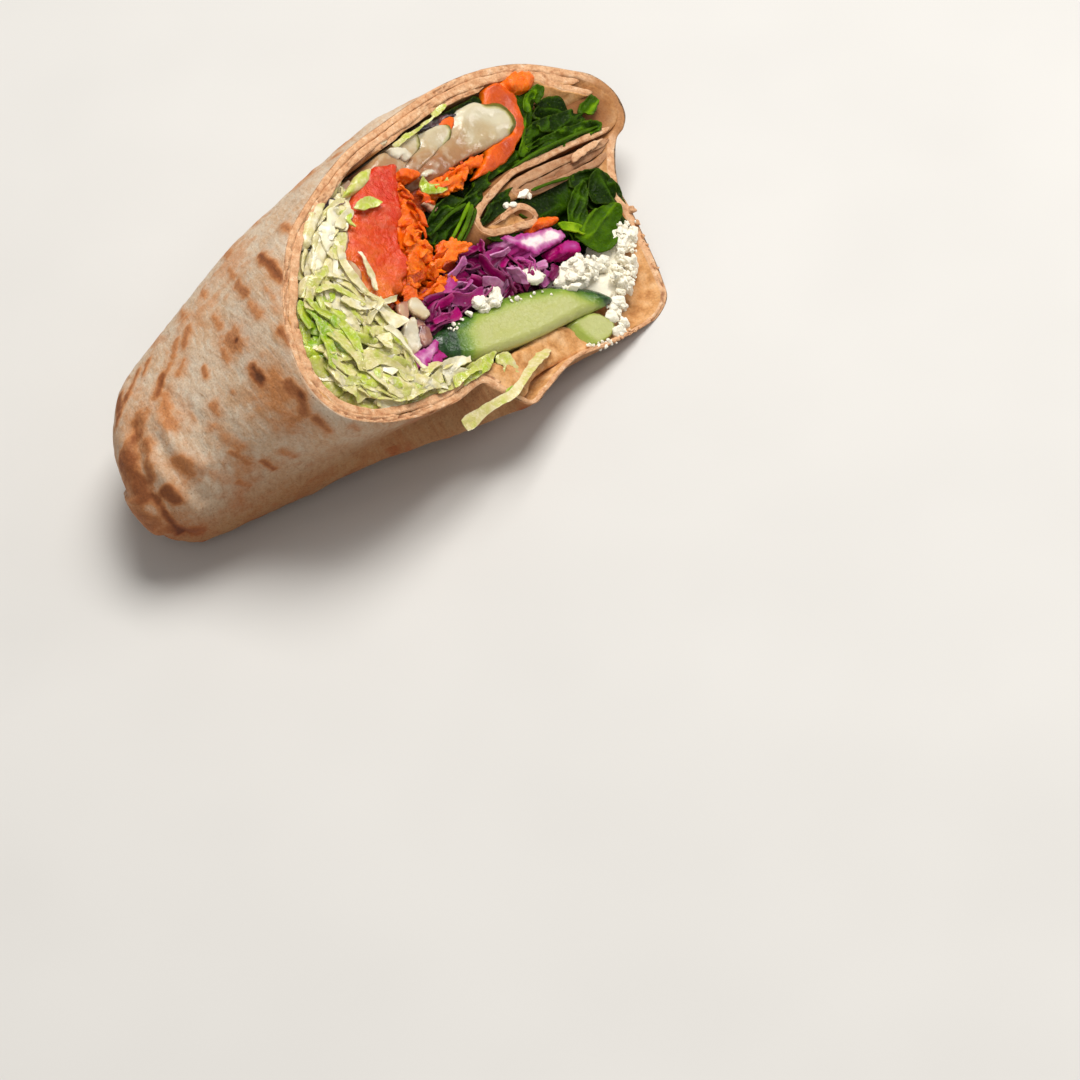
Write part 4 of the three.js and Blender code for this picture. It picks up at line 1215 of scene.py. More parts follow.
def lettuce_tone(place, draw):
    u, v = place
    green = math.exp(-((u + 36.5) ** 2 / 18 + (v + 38) ** 2 / 90))
    green = max(green, 0.5 * math.exp(-((u + 30) ** 2 + (v + 42) ** 2) / 90))
    pale = 0.15 * smoothstep(v, -30, -15)
    return min(max(0.24 - pale + 0.6 * green + draw.gauss(0, 0.18), 0), 1)


# Broad shreds along the wall: outline, level, tone.
WALL_STRIPS = [
    ([(-40.6, -3.7), (-37.5, -2.3), (-38.2, -6.2), (-39.9, -11.6), (-41.0, -15.2), (-42.9, -15.1),
      (-42.3, -9.2)], 0.2, 0.16),
    ([(-38.0, -10.2), (-35.7, -10.2), (-36.0, -13.5), (-38.1, -19.9), (-39.6, -22.9), (-41.3, -22.5),
      (-40.9, -18.4)], 0.8, 0.12),
    ([(-37.4, -18.0), (-34.7, -16.3), (-34.6, -19.5), (-35.7, -21.5), (-37.7, -21.3)], 1.0, 0.14),
    ([(-42.6, -24.6), (-40.7, -23.1), (-37.6, -23.7), (-39.1, -26.6), (-42.0, -28.2)], 0.7, 0.2),
    ([(-33.9, 8.4), (-32.3, 9.4), (-32.3, 6.5), (-34.1, 1.8), (-35.3, 2.2)], -0.4, 0.2),
    ([(-32.9, 0.9), (-29.8, 2.8), (-26.7, 7.6), (-26.4, 10.2), (-29.1, 8.4), (-32.1, 2.8)], 0.6, 0.42),
    ([(-42.8, -30.5), (-40, -31.8), (-39, -37.2), (-37, -42.4), (-39.8, -42.4), (-41.8, -37.6)], -0.4,
      0.66),
    ([(-39, -43), (-36.4, -42), (-33.6, -45.6), (-29.8, -48.2), (-31.6, -50.6), (-35.8, -47.6)], -0.3, 0.5),
    ([(-31, -50.6), (-29.2, -48), (-23.8, -48.8), (-18.8, -47.8), (-14.8, -45.6), (-14.2, -48),
      (-19.4, -50.6), (-25.2, -52)], -0.5, 0.42),
    ([(-14.4, -47.8), (-13, -45), (-7.6, -40.8), (-2.8, -38.2), (-2.2, -40.2), (-8.2, -44.2)], -0.5, 0.36),
]


# The longest shreds that lie on top: line, level, width, tone.
LONG_SHREDS = [
    ([(-34.2, -17.6), (-32.7, -19.8), (-30.1, -22.3), (-27.2, -24.2), (-24.6, -24.6)], 1.7, 2, 0.22),
    ([(-22.8, -31.7), (-19.9, -33.4), (-17.1, -35.8), (-14.6, -37.9), (-12.5, -39.4)], 2.4, 1.7, 0.03),
    ([(-37.5, -22.8), (-34.3, -22.2), (-30.5, -22.4), (-28.1, -24.5)], 1.4, 1.5, 0.12),
    ([(-42.4, -30.5), (-39.1, -32.3), (-35.4, -33), (-31.6, -35.6), (-29.1, -40)], 1.5, 2.6, 0.72),
    ([(-38.7, -35), (-37, -38.3), (-36, -42.2), (-35.4, -45.7)], 1.2, 3.2, 0.8),
    ([(-36.1, -37.1), (-32.9, -38.8), (-29.5, -41.6), (-27.6, -44.3)], 1.6, 3.6, 0.42),
    ([(-27.7, -42.2), (-23.5, -40.2), (-18.8, -40.6), (-15, -42.8)], 1.4, 3.6, 0.38),
    ([(-31.7, -47.8), (-27.5, -47), (-22.9, -47), (-17.8, -47.3)], 1, 3.2, 0.4),
    ([(-25.7, -27.1), (-21.9, -28.3), (-18.1, -29.5)], 1.8, 3.8, 0.1),
    ([(-26.7, -33.8), (-23.7, -33.8), (-22, -36.9)], 2, 3.8, 0.3),
    ([(-7.5, -37.1), (-3.3, -34.4), (-0.4, -33)], 1.4, 3.2, 0.1),
    ([(-4.2, -39.9), (-0.8, -36.5), (2.7, -32.8)], 1.2, 2.8, 0.55),
    ([(-16.3, -47.4), (-13.1, -45), (-10.3, -41.8), (-7.5, -38.8)], 1.3, 3, 0.3),
    ([(-29.4, -13.8), (-27.6, -16.6), (-25.9, -19.5), (-25.1, -22.1)], 1.2, 1.6, 0.16),
    ([(-40.6, -28.1), (-36, -25.6), (-31.8, -26.2), (-28.1, -27.8)], 1.8, 2, 0.5),
    ([(-34.1, -27.9), (-29.4, -28.3), (-25.3, -26.5), (-20.2, -23.4)], 1.9, 2.4, 0.14),
    ([(-27.5, -31.9), (-25.2, -27.9), (-23.9, -25.1)], 2.3, 2, 0.3),
]


# From the bottom up: how many shreds at most, how high they may lie, and their lengths and widths.
LETTUCE_LAYERS = (
    (150, -1.8, (7, 15), (1.8, 3.4)),
    (140, -0.6, (7, 16), (1.5, 3.2)),
    (120, 0.3, (6, 12), (2.4, 4.2)),
    (110, 1.0, (6, 14), (1.1, 2.8)),
)
LETTUCE_CHIPS = 52


def make_lettuce():
    piece = Piece("tone", "edge")
    draw = random.Random(101)
    for k, (outline, level, tone) in enumerate(WALL_STRIPS):
        add_slab(piece, outline, bumpy(level, 0.4, 3, 140 + k), 0, samples=70, spacing=0.45, ragged=0.12,
                 relief=0.12, relief_size=1.6, seed=141 + k, thin=0.9, tone=tone)
    # Painted shade: the hidden core under the shreds has a darker, greener tone than most shreds, for the
    # shade in the gaps between them.
    add_slab(piece, LETTUCE_REGION, bumpy(-4.2, 0.8, 4, 7), 10, samples=160, spacing=1.0, bevel=1.0,
             ragged=0.0, relief=0.4, seed=102, tone=0.4)
    heap = Heap(-4.6, LETTUCE_REGION)
    for amount, ceiling, length, width in LETTUCE_LAYERS:
        pile(piece, heap, LETTUCE_REGION, amount, draw, length, width, (0.3, 0.55), ceiling,
             lettuce_flow, 0.6, lettuce_tone, bend=0.07, tilt=0.2, curl=0.3, rough=0.12, edge=1.0, steps=12,
             section_name="shred")
    chop(piece, heap, LETTUCE_REGION, LETTUCE_CHIPS, draw, (1.8, 4.2), 1.5, lettuce_flow, lettuce_tone, 900)
    for k, (line, level, width, tone) in enumerate(LONG_SHREDS):
        path = open_curve(line, 26)
        steps = np.linspace(0, 1, len(path))
        lay_strip(piece, path, level + 0.3 * np.sin(k + 5 * steps), 0.3 * np.sin(2 * k + 4 * steps),
                  width * (0.75 + 0.25 * np.sin(1.3 * k + 5 * steps)), 0.5, section_name="shred", curl=0.3,
                  rough=0.2, seed=150 + k, slant=0.6, tone=tone, edge=1.0)
    piece.build("lettuce_shreds", LETTUCE, "pale_lettuce", ["lettuce"], sharp=42)


make_lettuce()

# ---- Carrot ----

CARROT_BUNDLES = {
    "carrot_left": [
        (-19.3, 9.8), (-16.7, 8.6), (-15, 6.4), (-13.6, 2.7), (-12.3, -2.4), (-10.4, -5.8), (-10.7, -10),
        (-12.3, -14), (-13.2, -17.6), (-14.8, -20.5), (-16, -18.5), (-16.6, -15.9), (-17.3, -8),
        (-18.2, -1.5), (-18.8, 3.8),
    ],
    "carrot_middle": [
        (-9, -6.8), (-6.4, -3.5), (-3, -2.2), (-0.6, -2.4), (-2.6, -6.1), (-4.6, -9.5), (-4.6, -12.5),
        (-6.9, -15.9), (-9.5, -18.5), (-11, -16.8), (-10.6, -13.3), (-11.3, -10.9),
    ],
    "carrot_upper": [
        (-10.9, 11), (-9.4, 14.3), (-4.6, 17.9), (0.8, 23.8), (3.6, 25.2), (3.4, 22.4), (-0.3, 18.2),
        (-2, 14.6), (-4.6, 10.5), (-7.3, 9.2), (-9.5, 10.2),
    ],
}
RIB_HEIGHT = 0.4
# How many shreds, how high they lie, and the way they run.
CARROT_HEAPS = {
    "carrot_left": (54, 1.4, -0.5),
    "carrot_middle": (26, 0.6, 0.6),
    "carrot_upper": (24, 0.6, 0.7),
}
# Flakes of grated carrot on each bundle: outline, level, slope along u and v, tone.
CARROT_FLAKES = {
    "carrot_left": [
        ([(-19, 8.7), (-16.4, 7.7), (-14.5, 4.9), (-13.5, 1.6), (-13, -1.7), (-16.1, -2.7), (-16.8, 0.5),
          (-18.1, 3.2), (-18.9, 6.1)], 0.2, (0, -0.1), 0.4),
        ([(-18.6, 3.8), (-16.4, 3.8), (-14.7, 2.4), (-13.7, 0.8), (-13.2, -1.8), (-13.8, -4.5),
          (-15.3, -4.2), (-17.5, -3.2), (-19, -1.5), (-18.8, 1.5)], 0.9, (0.06, 0.05), 0.6),
        ([(-17.7, -3.1), (-15.8, -2.9), (-13.8, -5), (-11.4, -4.9), (-10.2, -6.5), (-11.1, -7.8),
          (-12.8, -8.8), (-13.7, -10.1), (-15.6, -11), (-17.1, -9.3), (-18.2, -6.5)], 1.5, (-0.1, 0.12),
          0.72),
        ([(-16.5, -9.6), (-14, -9.7), (-12.4, -11.4), (-12.4, -14.6), (-13.4, -17.3), (-14.9, -17.3),
          (-16, -15.5), (-16.7, -12.6)], 1.0, (-0.08, 0.1), 0.6),
        ([(-16, -16.5), (-14.5, -17.2), (-13.6, -19.1), (-14.9, -21), (-16, -19.6)], 0.3, (0, 0.1), 0.45),
        ([(-11.5, -5.2), (-9.8, -6.9), (-10.8, -9.9), (-12.2, -10.6), (-13, -8.7)], 0.9, (-0.1, 0.0), 0.5),
    ],
    "carrot_middle": [
        ([(-6.1, -2.8), (-3.2, -2.3), (-0.7, -2.4), (-1.9, -4.2), (-3.6, -6), (-4.8, -7.9), (-7.5, -10.1),
          (-10.8, -11.5), (-9.2, -9.3), (-7.3, -6.7), (-7.8, -5.7)], 1.5, (0.03, 0.1), 0.65),
        ([(-7.8, -3.1), (-6.1, -3.1), (-6.6, -5.8), (-8.5, -6.9), (-9.2, -5.7)], 0.6, (0, 0), 0.45),
        ([(-8.5, -13.7), (-6.5, -12.5), (-4.4, -12), (-4.9, -13.7), (-6.4, -15.5), (-8.8, -17.4),
          (-10.6, -17.6), (-9.7, -15.5)], 1.0, (0.05, 0.1), 0.62),
        ([(-10.1, -19.2), (-7.8, -17.5), (-6.3, -17.6), (-7.2, -19.3), (-9.1, -20.2)], 0.0, (0, 0), 0.2),
    ],
    "carrot_upper": [
        ([(3.5, 24.5), (3, 22.2), (1.1, 20.5), (-1.5, 18.6), (-4.7, 16), (-7.7, 12.6), (-10.4, 11),
          (-11.3, 11.3), (-8.8, 13.7), (-5.7, 16.5), (-2.6, 19.7), (0.5, 22.7)], 0.6, (0.03, 0.05), 0.55),
        ([(-2.1, 18.5), (-1.7, 16.3), (-3.8, 13.4), (-6.1, 10.4), (-8.6, 9.1), (-7.2, 11.7), (-6.2, 13.9),
          (-4.7, 16)], 1.2, (-0.05, 0.1), 0.65),
        ([(-14.1, 8.5), (-12, 8.4), (-11.3, 7.9), (-10, 7), (-10.1, 5.8), (-12, 5.8), (-13.2, 7)], 0.7,
          (0, 0), 0.3),
    ],
}
RIBBON = [
    (4.3, 44.1), (5.5, 40.3), (7.9, 39.7), (9.7, 39.1), (10.9, 37), (11.1, 33.8), (8.9, 31.1), (5.2, 27),
    (3.7, 23), (1, 17.2), (4.2, 19.7), (7.4, 22.6), (10, 25.7), (12.1, 30), (13.8, 34.7), (13.6, 38.2),
    (12.2, 41.3), (11.8, 44), (9.4, 45.6), (6.7, 45.9),
]
RIBBON_RIDGE = [(6.7, 44.9), (9.4, 43.1), (12.1, 39.6), (12.8, 34.9), (9.5, 28.8), (6.3, 24.4), (2.1, 18.1)]
CARROT_PIECES = {
    "carrot_chunk": [
        ([(9, 47.3), (10.4, 50), (12.6, 51.4), (15.4, 52.2), (16.8, 50.9), (16, 48.2), (13.7, 46.2),
          (11.3, 45.5), (9.5, 46)], 1.8, 4, 1.1, 0.62),
    ],
    "carrot_small": [
        ([(16.8, 9.2), (18.4, 12), (20.6, 13), (23.2, 13.6), (23.3, 12.2), (20.8, 10.8), (18.4, 9)], 1.6, 3,
          0.7, 0.5),
        ([(-6.5, 30.6), (-4.9, 33.2), (-2.8, 34.2), (-3.3, 31.8), (-3.7, 29.6), (-4.8, 30.5)], -0.6, 3, 0.3,
          0.5),
        ([(-19.5, 11.6), (-16.5, 12.9), (-14.1, 12.7), (-15, 11.5), (-19, 10.5)], 1.0, 2, 0.3, 0.5),
    ],
}


def ribbed(height, turn, seed):
    """A front with the ribs that a grater leaves."""
    def front(u, v):
        across = v * math.cos(turn) - u * math.sin(turn)
        along = u * math.cos(turn) + v * math.sin(turn)
        return height(u, v) + RIB_HEIGHT * noise(np.stack([along / 5, across, 0 * u], -1), 0.9, seed)

    return front


def ribbon_front(u, v):
    return 0.9 - 0.16 * near(u, v, RIBBON_RIDGE) ** 1.5 + 0.3 * noise(place_of(u, v), 4, 230)


def ribbon_tone(u, v, e):
    return 0.16 + 0.3 * (1 - smoothstep(e, 0, 0.8)) + 0.12 * noise(place_of(u, v), 3, 232)


def make_carrot():
    for number, (name, outline) in enumerate(CARROT_BUNDLES.items()):
        region = np.asarray(outline)
        wide = region.mean(0) + (region - region.mean(0)) * 1.05
        piece = Piece("tone")
        draw = random.Random(200 + number)
        count, ceiling, flow = CARROT_HEAPS[name]
        # Painted shade: the core under the shreds has the darkest carrot colour, for the shade in the gaps
        # between them.
        add_slab(piece, region, bumpy(-2.8, 0.6, 3, 8), 12, samples=90, spacing=0.8, bevel=0.8, ragged=0.3,
                 relief=0.4, seed=205)
        heap = Heap(-3.0, wide)
        for share, top in ((0.8, ceiling - 2.4), (1.0, ceiling - 1.4), (0.4, ceiling - 0.9)):
            pile(piece, heap, wide, int(count * share), draw, (2.5, 7), (1.6, 3.4), (0.5, 1.0), top,
                 lambda place: flow, 0.7, lambda place, d: min(max(d.gauss(0.42, 0.25), 0), 1), bend=0.1,
                 tilt=0.6, curl=0.3, rough=0.4, steps=9, section_name="shred")
        for k, (flake, level, slope, tone) in enumerate(CARROT_FLAKES[name]):
            middle = np.mean(flake, 0)
            front = ribbed(bumpy(level, 0.5, 3, 220 + k, middle, slope), flow + 0.5 * math.sin(3 * k), k)
            add_slab(piece, flake, front, 0, samples=150, spacing=0.33, bevel=0.18, ragged=0.5,
                     ragged_size=0.9, relief=0.12, relief_size=1.0, seed=221 + 7 * k + number, thin=0.7,
                     tone=tone)
            heap.cover(flake, level)
        pile(piece, heap, wide, count // 7, draw, (2, 4.5), (1.0, 2.2), (0.3, 0.6), ceiling + 0.9,
             lambda place: flow, 0.8, lambda place, d: d.uniform(0.4, 0.8), bend=0.1, tilt=0.5, curl=0.3,
             rough=0.25, steps=8, section_name="shred")
        piece.build(name + "_shreds", CARROT, "carrot_flesh", [name], sharp=26)
    piece = Piece("tone")
    add_slab(piece, RIBBON, ribbon_front, 0, samples=200, spacing=0.4, bevel=0.25, ragged=0.22,
             ragged_size=1.2, relief=0.12, relief_size=1.2, seed=231, thin=1.2, tone=ribbon_tone)
    piece.build("carrot_ribbon_shred", RIBBON_SHRED, "carrot_flesh", ["carrot_ribbon"])
    for name, parts in CARROT_PIECES.items():
        piece = Piece("tone")
        for k, (outline, level, depth, bevel, tone) in enumerate(parts):
            add_slab(piece, outline, bumpy(level, 0.5, 2.5, 212 + k), depth, samples=90, spacing=0.35,
                     bevel=bevel, ragged=0.3, ragged_size=1.2, relief=0.28, relief_size=1.1, seed=213 + k,
                     tone=tone)
        piece.build(name + "_piece", CARROT, "carrot_flesh", [name])


make_carrot()

# ---- Red cabbage ----

CABBAGE_REGION = [
    (-12.5, -20.8), (-9.6, -16.5), (-6.9, -14.2), (-5.6, -11.1), (-3, -6.8), (-1, -2.7), (3.1, 0.4),
    (7.9, 0.4), (10.7, 1.2), (14.8, 1.4), (19.7, 2), (24.6, 2.2), (28, 3.6), (29, -0.6), (24.6, -3.4),
    (20.4, -4.8), (17.6, -6.8), (14.8, -9), (10.7, -11.6), (5.9, -13.6), (1.2, -17.4), (-2.8, -20.9),
    (-5.4, -24.6), (-8.7, -28.4), (-12, -29.3), (-11.4, -24.3),
]
CABBAGE_SCRAPS = {
    "red_cabbage_pale": [
        ([(9.1, 3.6), (12.6, 5.5), (16.8, 7.6), (21, 10.4), (25.5, 9.5), (23.8, 6.8), (20.3, 4.4),
          (18.2, 2.1), (14.7, 1.9), (11.1, 2.2)], 0.9, 0.7, 0.32),
        ([(23.8, 6.4), (26.6, 8.8), (29.6, 8.7), (29.4, 6.5), (26.9, 5), (24.1, 4.4)], 0.5, 0.48, 0.25),
    ],
    "red_cabbage_low": [
        ([(-15.2, -35.9), (-12.8, -34), (-9.6, -30.6), (-8.9, -29.4), (-8.3, -32.6), (-10.4, -36.6),
          (-11.3, -38.5), (-12.7, -38.3), (-13.7, -36.7)], 0.7, 0.7, 0.25),
        ([(-8.8, -31.3), (-6.2, -31.9), (-6.6, -34.5), (-8.5, -36.5), (-10.4, -36.6), (-9.5, -33.9)], 0.2,
          0.55, 0.2),
    ],
}


def cabbage_tone(place, draw):
    return 0.85 if draw.random() < 0.14 else min(max(draw.gauss(0.42, 0.18), 0), 1)


# As LETTUCE_LAYERS.
CABBAGE_LAYERS = (
    (90, -1.8, (5, 12), (1.5, 3.0)),
    (80, -0.4, (5, 12), (1.6, 3.4)),
    (60, 0.5, (5, 13), (1.4, 3.4)),
    (34, 1.1, (3, 9), (1.4, 3.2)),
)


def make_cabbage():
    piece = Piece("tone", "edge")
    draw = random.Random(301)
    # Painted shade: the core under the shreds has the darkest cabbage colour, for the shade in the gaps
    # between them.
    add_slab(piece, CABBAGE_REGION, bumpy(-3.6, 0.8, 4, 9), 12, spacing=0.9, bevel=0.8, ragged=0.3,
             relief=0.4, seed=302)
    heap = Heap(-3.8, CABBAGE_REGION)
    for amount, top, length, width in CABBAGE_LAYERS:
        pile(piece, heap, CABBAGE_REGION, amount, draw, length, width, (0.4, 0.8), top,
             lambda place: 0.75 if place[0] < 8 else 1.7, 0.45, cabbage_tone, bend=0.06, tilt=0.8, curl=0.4,
             rough=0.2, edge=1.0, section_name="shred")
    piece.build("red_cabbage_shreds", CABBAGE, "red_cabbage_leaf", ["red_cabbage"], sharp=28)
    for name, parts in CABBAGE_SCRAPS.items():
        piece = Piece("tone", "edge")
        for k, (outline, level, base, gain) in enumerate(parts):
            middle = np.mean(outline, 0)
            add_slab(piece, outline, bumpy(level, 0.5, 2.6, 310 + k, middle, (0.02, -0.06)), 3, samples=110,
                     spacing=0.35, bevel=0.25, ragged=0.5, ragged_size=1.0, relief=0.14, seed=311 + k,
                     tone=lambda u, v, e: base + gain * smoothstep(e, 0.2, 2.0) + 0.12 * noise(
                         place_of(u, v) * (1, 0.4, 1), 1.6, 316))
        piece.build(name + "_scrap", CABBAGE, "red_cabbage_leaf", [name])


make_cabbage()

# ---- Spinach ----

SPINACH_CORES = {
    "spinach_upper": [
        (18.3, 48.2), (21.9, 48.8), (25.5, 50.1), (29.4, 48.2), (32.7, 46.4), (35.6, 44.9), (35.6, 43.1),
        (31.9, 39.9), (26.1, 34.9), (20.4, 30.4), (14.8, 25.6), (10.6, 22), (7.8, 18.2), (5.4, 13.9),
        (3.4, 11.2), (0.9, 9.5), (-0.7, 6.6), (-1.7, 2.6), (-2.7, -1.9), (-5.4, -3.1), (-9.8, -4.3),
        (-12.1, -3), (-11.9, 0.5), (-9.9, 5.4), (-6.6, 9.3), (-3.2, 13.2), (1.6, 17), (6.4, 21.5),
        (10.5, 26.6), (13.3, 31.9), (13.9, 37.1), (12.9, 41.9), (13.6, 45.8),
    ],
    "spinach_lower": [
        (14.8, 16.6), (18.3, 21), (22.9, 25), (27.5, 27.5), (31.8, 29.5), (35.5, 31), (39.1, 28.6),
        (41.9, 25.2), (44.5, 21.1), (44.3, 19.8), (41.1, 18.5), (40, 14.5), (38.1, 10.7), (33.1, 7.2),
        (29.6, 7.1), (25.3, 9.6), (23.2, 11.7), (17.6, 12.8), (14.8, 13.4),
    ],
}
# Each leaf: outline, level, slope, the way its folds run, how deep they are, how wide, tone, turned-up edge.
LEAVES = {
    "spinach_upper": [
        ([(19.6, 45.4), (22.6, 49.2), (25.6, 50.6), (28.4, 49.3), (31.6, 47.2), (35.2, 45.2), (33.4, 43),
          (28, 40.6), (22, 38.2), (18.6, 36.8), (19.4, 41)], -1.6, (0.0, -0.1), 0.2, 1.7, 3.2, 0.15, 0.5),
        ([(13.1, 46), (16, 48.6), (18.5, 46.2), (19.9, 43.6), (20.4, 40.6), (19, 36), (16.5, 31.5),
          (14, 27.6), (12.4, 27.8), (13.5, 32.7), (13.8, 37.2), (13.1, 41.3)], -0.8, (-0.2, 0.0), 1.3, 0.9,
          3.4, 0.4, 0.5),
        ([(14.6, 33.4), (17, 38.8), (22.6, 43.2), (27.6, 46), (31.2, 46), (31.4, 42.4), (25.4, 38.4),
          (19.4, 33.6), (15.4, 30.4)], -0.8, (0.0, 0.05), 0.75, 1.3, 2.0, 0.22, 0.5),
        ([(35.6, 45), (35.8, 43.1), (30.5, 39), (24.7, 34.2), (18.3, 29), (13.4, 24.8), (11.6, 24.4),
          (13.8, 29.4), (18.4, 34.6), (24.4, 39.4), (31, 43.6)], -0.3, (0.0, 0.1), 0.72, 1.2, 1.3, 0.34,
          0.4),
        ([(15, 29.6), (11.4, 25.2), (7.8, 20.6), (4.4, 15.4), (1, 12.6), (0.4, 15), (4, 19.6), (8.6, 24.4),
          (12.4, 29.6)], -0.6, (-0.05, 0.05), 0.85, 1.1, 1.4, 0.3, 0.5),
        ([(-12.1, -3), (-11.9, 0.5), (-9.9, 5.4), (-6.6, 9.3), (-3.6, 11.8), (-2, 11), (-4, 7.4), (-7, 3.6),
          (-9, 0.2), (-10.2, -3.4)], 0.1, (-0.1, 0.0), 1.0, 1.1, 1.7, 0.28, 0.7),
        ([(-10.2, -3.6), (-8.4, 1), (-5.8, 5.4), (-2.6, 9.6), (1.4, 13.4), (3.4, 15.4), (3.0, 12.0),
          (1.2, 9.2), (-1, 5.6), (-2, 1.6), (-3.2, -1.6), (-5.6, -3.2)], -0.4, (0.06, 0.02), 0.95, 1.5, 2.0,
          0.2, 0.6),
        ([(30.8, 46.4), (31.1, 50.4), (33.2, 52.4), (34.5, 51.1), (33.9, 48), (32.2, 46)], 0.4, (0.1, 0.0),
          1.1, 1.3, 1.4, 0.5, 0.5),
        ([(-5.4, 33.9), (-2.8, 37), (0.3, 39.8), (3.5, 42.6), (4.3, 41.8), (4.6, 38.9), (2.5, 38.5),
          (-0.2, 38.2), (-2.3, 36.1), (-3, 34.4)], -1.6, (0, 0), 0.6, 0.6, 2.0, 0.0, 0.2),
        ([(13.7, 44.2), (15.4, 47.1), (17.1, 48.8), (18.5, 48.3), (18.7, 46), (17.7, 44.2), (16.3, 44.5),
          (15.1, 42.7), (15.4, 40.7), (13.7, 40.7)], 0.8, (0.1, 0.1), 1.2, 0.9, 1.4, 0.5, 0.6),
    ],
    "spinach_lower": [
        ([(14.6, 13.6), (14.8, 16.8), (18.3, 21.4), (22.9, 25.2), (27.4, 27.6), (31, 28), (31.4, 21),
          (30.6, 14), (28, 10.4), (23.6, 12), (18, 12.4)], -1.3, (0.0, 0.03), 0.7, 1.8, 2.6, 0.14, 0.4),
        ([(38, 29.4), (40.8, 27), (43.2, 23.4), (45, 20.8), (44.7, 19.6), (41.5, 18.7), (38.6, 19.6),
          (36.6, 23), (36, 27)], -0.5, (-0.14, 0.0), 1.9, 0.6, 2.4, 0.2, 0.5),
        ([(27.4, 27.2), (31, 29.6), (34.4, 31), (37.4, 30.2), (39.6, 27.4), (39.9, 24), (38.6, 20.6),
          (35, 20), (31.6, 20.4), (28.6, 22.4)], 0.1, (0.02, 0.1), 0.4, 1.3, 2.4, 0.18, 0.8),
        ([(33.1, 29.8), (36.6, 30.1), (40.1, 28.8), (42.5, 25.5), (44.1, 22.1), (45, 19.8), (42, 18.4),
          (40, 21.2), (37.4, 22.2), (33.6, 21.4), (31.8, 24.5)], 0.5, (-0.1, 0.02), 2.2, 0.7, 3.4, 0.26,
          0.6),
        ([(28.2, 10.6), (30.5, 14.9), (32.6, 18.3), (35.1, 20.9), (37.8, 22.6), (40.1, 22.6), (41, 20.6),
          (40.5, 17.9), (40.1, 15.2), (39.9, 12.9), (38.5, 10.7), (36.4, 9.1), (33.6, 8.3), (30.9, 8.9)],
          1.0, (0.02, 0.04), 1.1, 0.55, 2.8, 0.56, 0.3),
        ([(26.2, 14.8), (26.6, 19.6), (28.6, 24.6), (30.8, 26), (31.4, 20.6), (31, 14.4), (29.4, 9.4),
          (26.8, 10.4)], 0.2, (0.06, 0.04), 1.4, 1.1, 1.7, 0.3, 0.7),
        ([(23, 11.6), (26.1, 13.1), (28.9, 13.5), (31.2, 12.9), (30.7, 11.5), (27.5, 10.7), (24.3, 10.3)],
          1.2, (0, 0), 0.2, 0.2, 2.0, 0.85, 0.3),
        ([(5.2, 2.6), (8.6, 5.0), (11.6, 8.2), (14.4, 9.4), (15.4, 7.6), (12, 4.8), (8.4, 2.6)], -0.4,
          (0, 0), 0.7, 0.6, 1.6, 0.2, 0.4),
        ([(3.4, 5.7), (4.2, 9.4), (6.2, 13.2), (9, 16.6), (11.6, 18.5), (13.8, 18.3), (15.5, 16.8),
          (14.4, 14.4), (11, 12.3), (8, 10), (5.5, 6.4)], -0.5, (0, 0), 0.9, 0.9, 1.6, 0.14, 0.4),
    ],
}
# Each stem: its line as u, v, h, its radius and its tone.
STEMS = {
    "spinach_upper": [
        ([(0.3, 9.6, 0.2), (-1.0, 5.4, 1.2), (-2.2, 1.6, 1.3), (-3.8, -2.6, 0.6)], 0.62, 0.6),
        ([(-0.5, 9.9, 0.4), (-2.2, 5.6, 0.9), (-3.6, 2, 0.9), (-5.2, -2.2, 0.3)], 0.45, 0.78),
        ([(1.6, 9.4, 0.0), (0.4, 5.2, 0.5), (-1.2, 1, 0.6), (-2.4, -2.0, 0.2)], 0.4, 0.45),
        ([(-9.6, -1, 0.4), (-6, 4.4, 1.0), (-1.6, 9, 0.6)], 0.45, 0.5),
        ([(34.6, 43.6, 0.6), (27, 37.8, 1.1), (18, 30.4, 0.9), (11, 23.6, 0.2)], 0.42, 0.55),
    ],
    "spinach_lower": [([(16.4, 19.2, 0.2), (21, 22.6, 0.4), (26.6, 26.4, 0.2)], 0.4, 0.5)],
}


def folded(u, v, turn, width, seed):
    """Folds that run along one way: sharp ridges, soft valleys, from 0 to 1."""
    along = u * math.cos(turn) + v * math.sin(turn)
    across = v * math.cos(turn) - u * math.sin(turn)
    wander = 0.5 * noise(place_of(u, v), 5, seed + 3)
    shape = np.stack([along / 3.4, across + wander, 0 * along], -1)
    return 1 - np.abs(noise(shape, width, seed)) * 1.6


def add_leaf(piece, outline, level, slope, turn, fold, width, tone, lip, seed):
    """A leaf, crumpled into folds."""
    middle = np.mean(outline, 0)
    edge_line = closed_curve(outline, 60)
    edge_line = np.vstack([edge_line, edge_line[:1]])

    def height(u, v):
        h = bumpy(level, 0.5, 4.5, seed, middle, slope)(u, v) + fold * (folded(u, v, turn, width, seed) - 0.6)
        turned_up = 1 - smoothstep(near(u, v, edge_line), 0, 1.2)
        return h + 0.14 * noise(place_of(u, v), 1.1, seed + 7) + lip * turned_up

    add_slab(piece, outline, height, 0, samples=90, spacing=0.42, bevel=0.0, ragged=0.25, relief=0.05,
             relief_size=0.8, seed=seed + 2, thin=0.35,
             # Painted highlight: the tone is lighter on the fold ridges, where light catches them.
             tone=lambda u, v, e: (
                 tone + 0.3 * min(fold, 1) * smoothstep(folded(u, v, turn, width, seed), 0.55, 1.0)),
             # Painted highlight: a lighter line along the leaf's rim.
             vein=lambda u, v, e: 0.3 * (1 - smoothstep(e, 0.0, 0.3)))


STEM_SIDES = 10
STEM_STEPS = 22


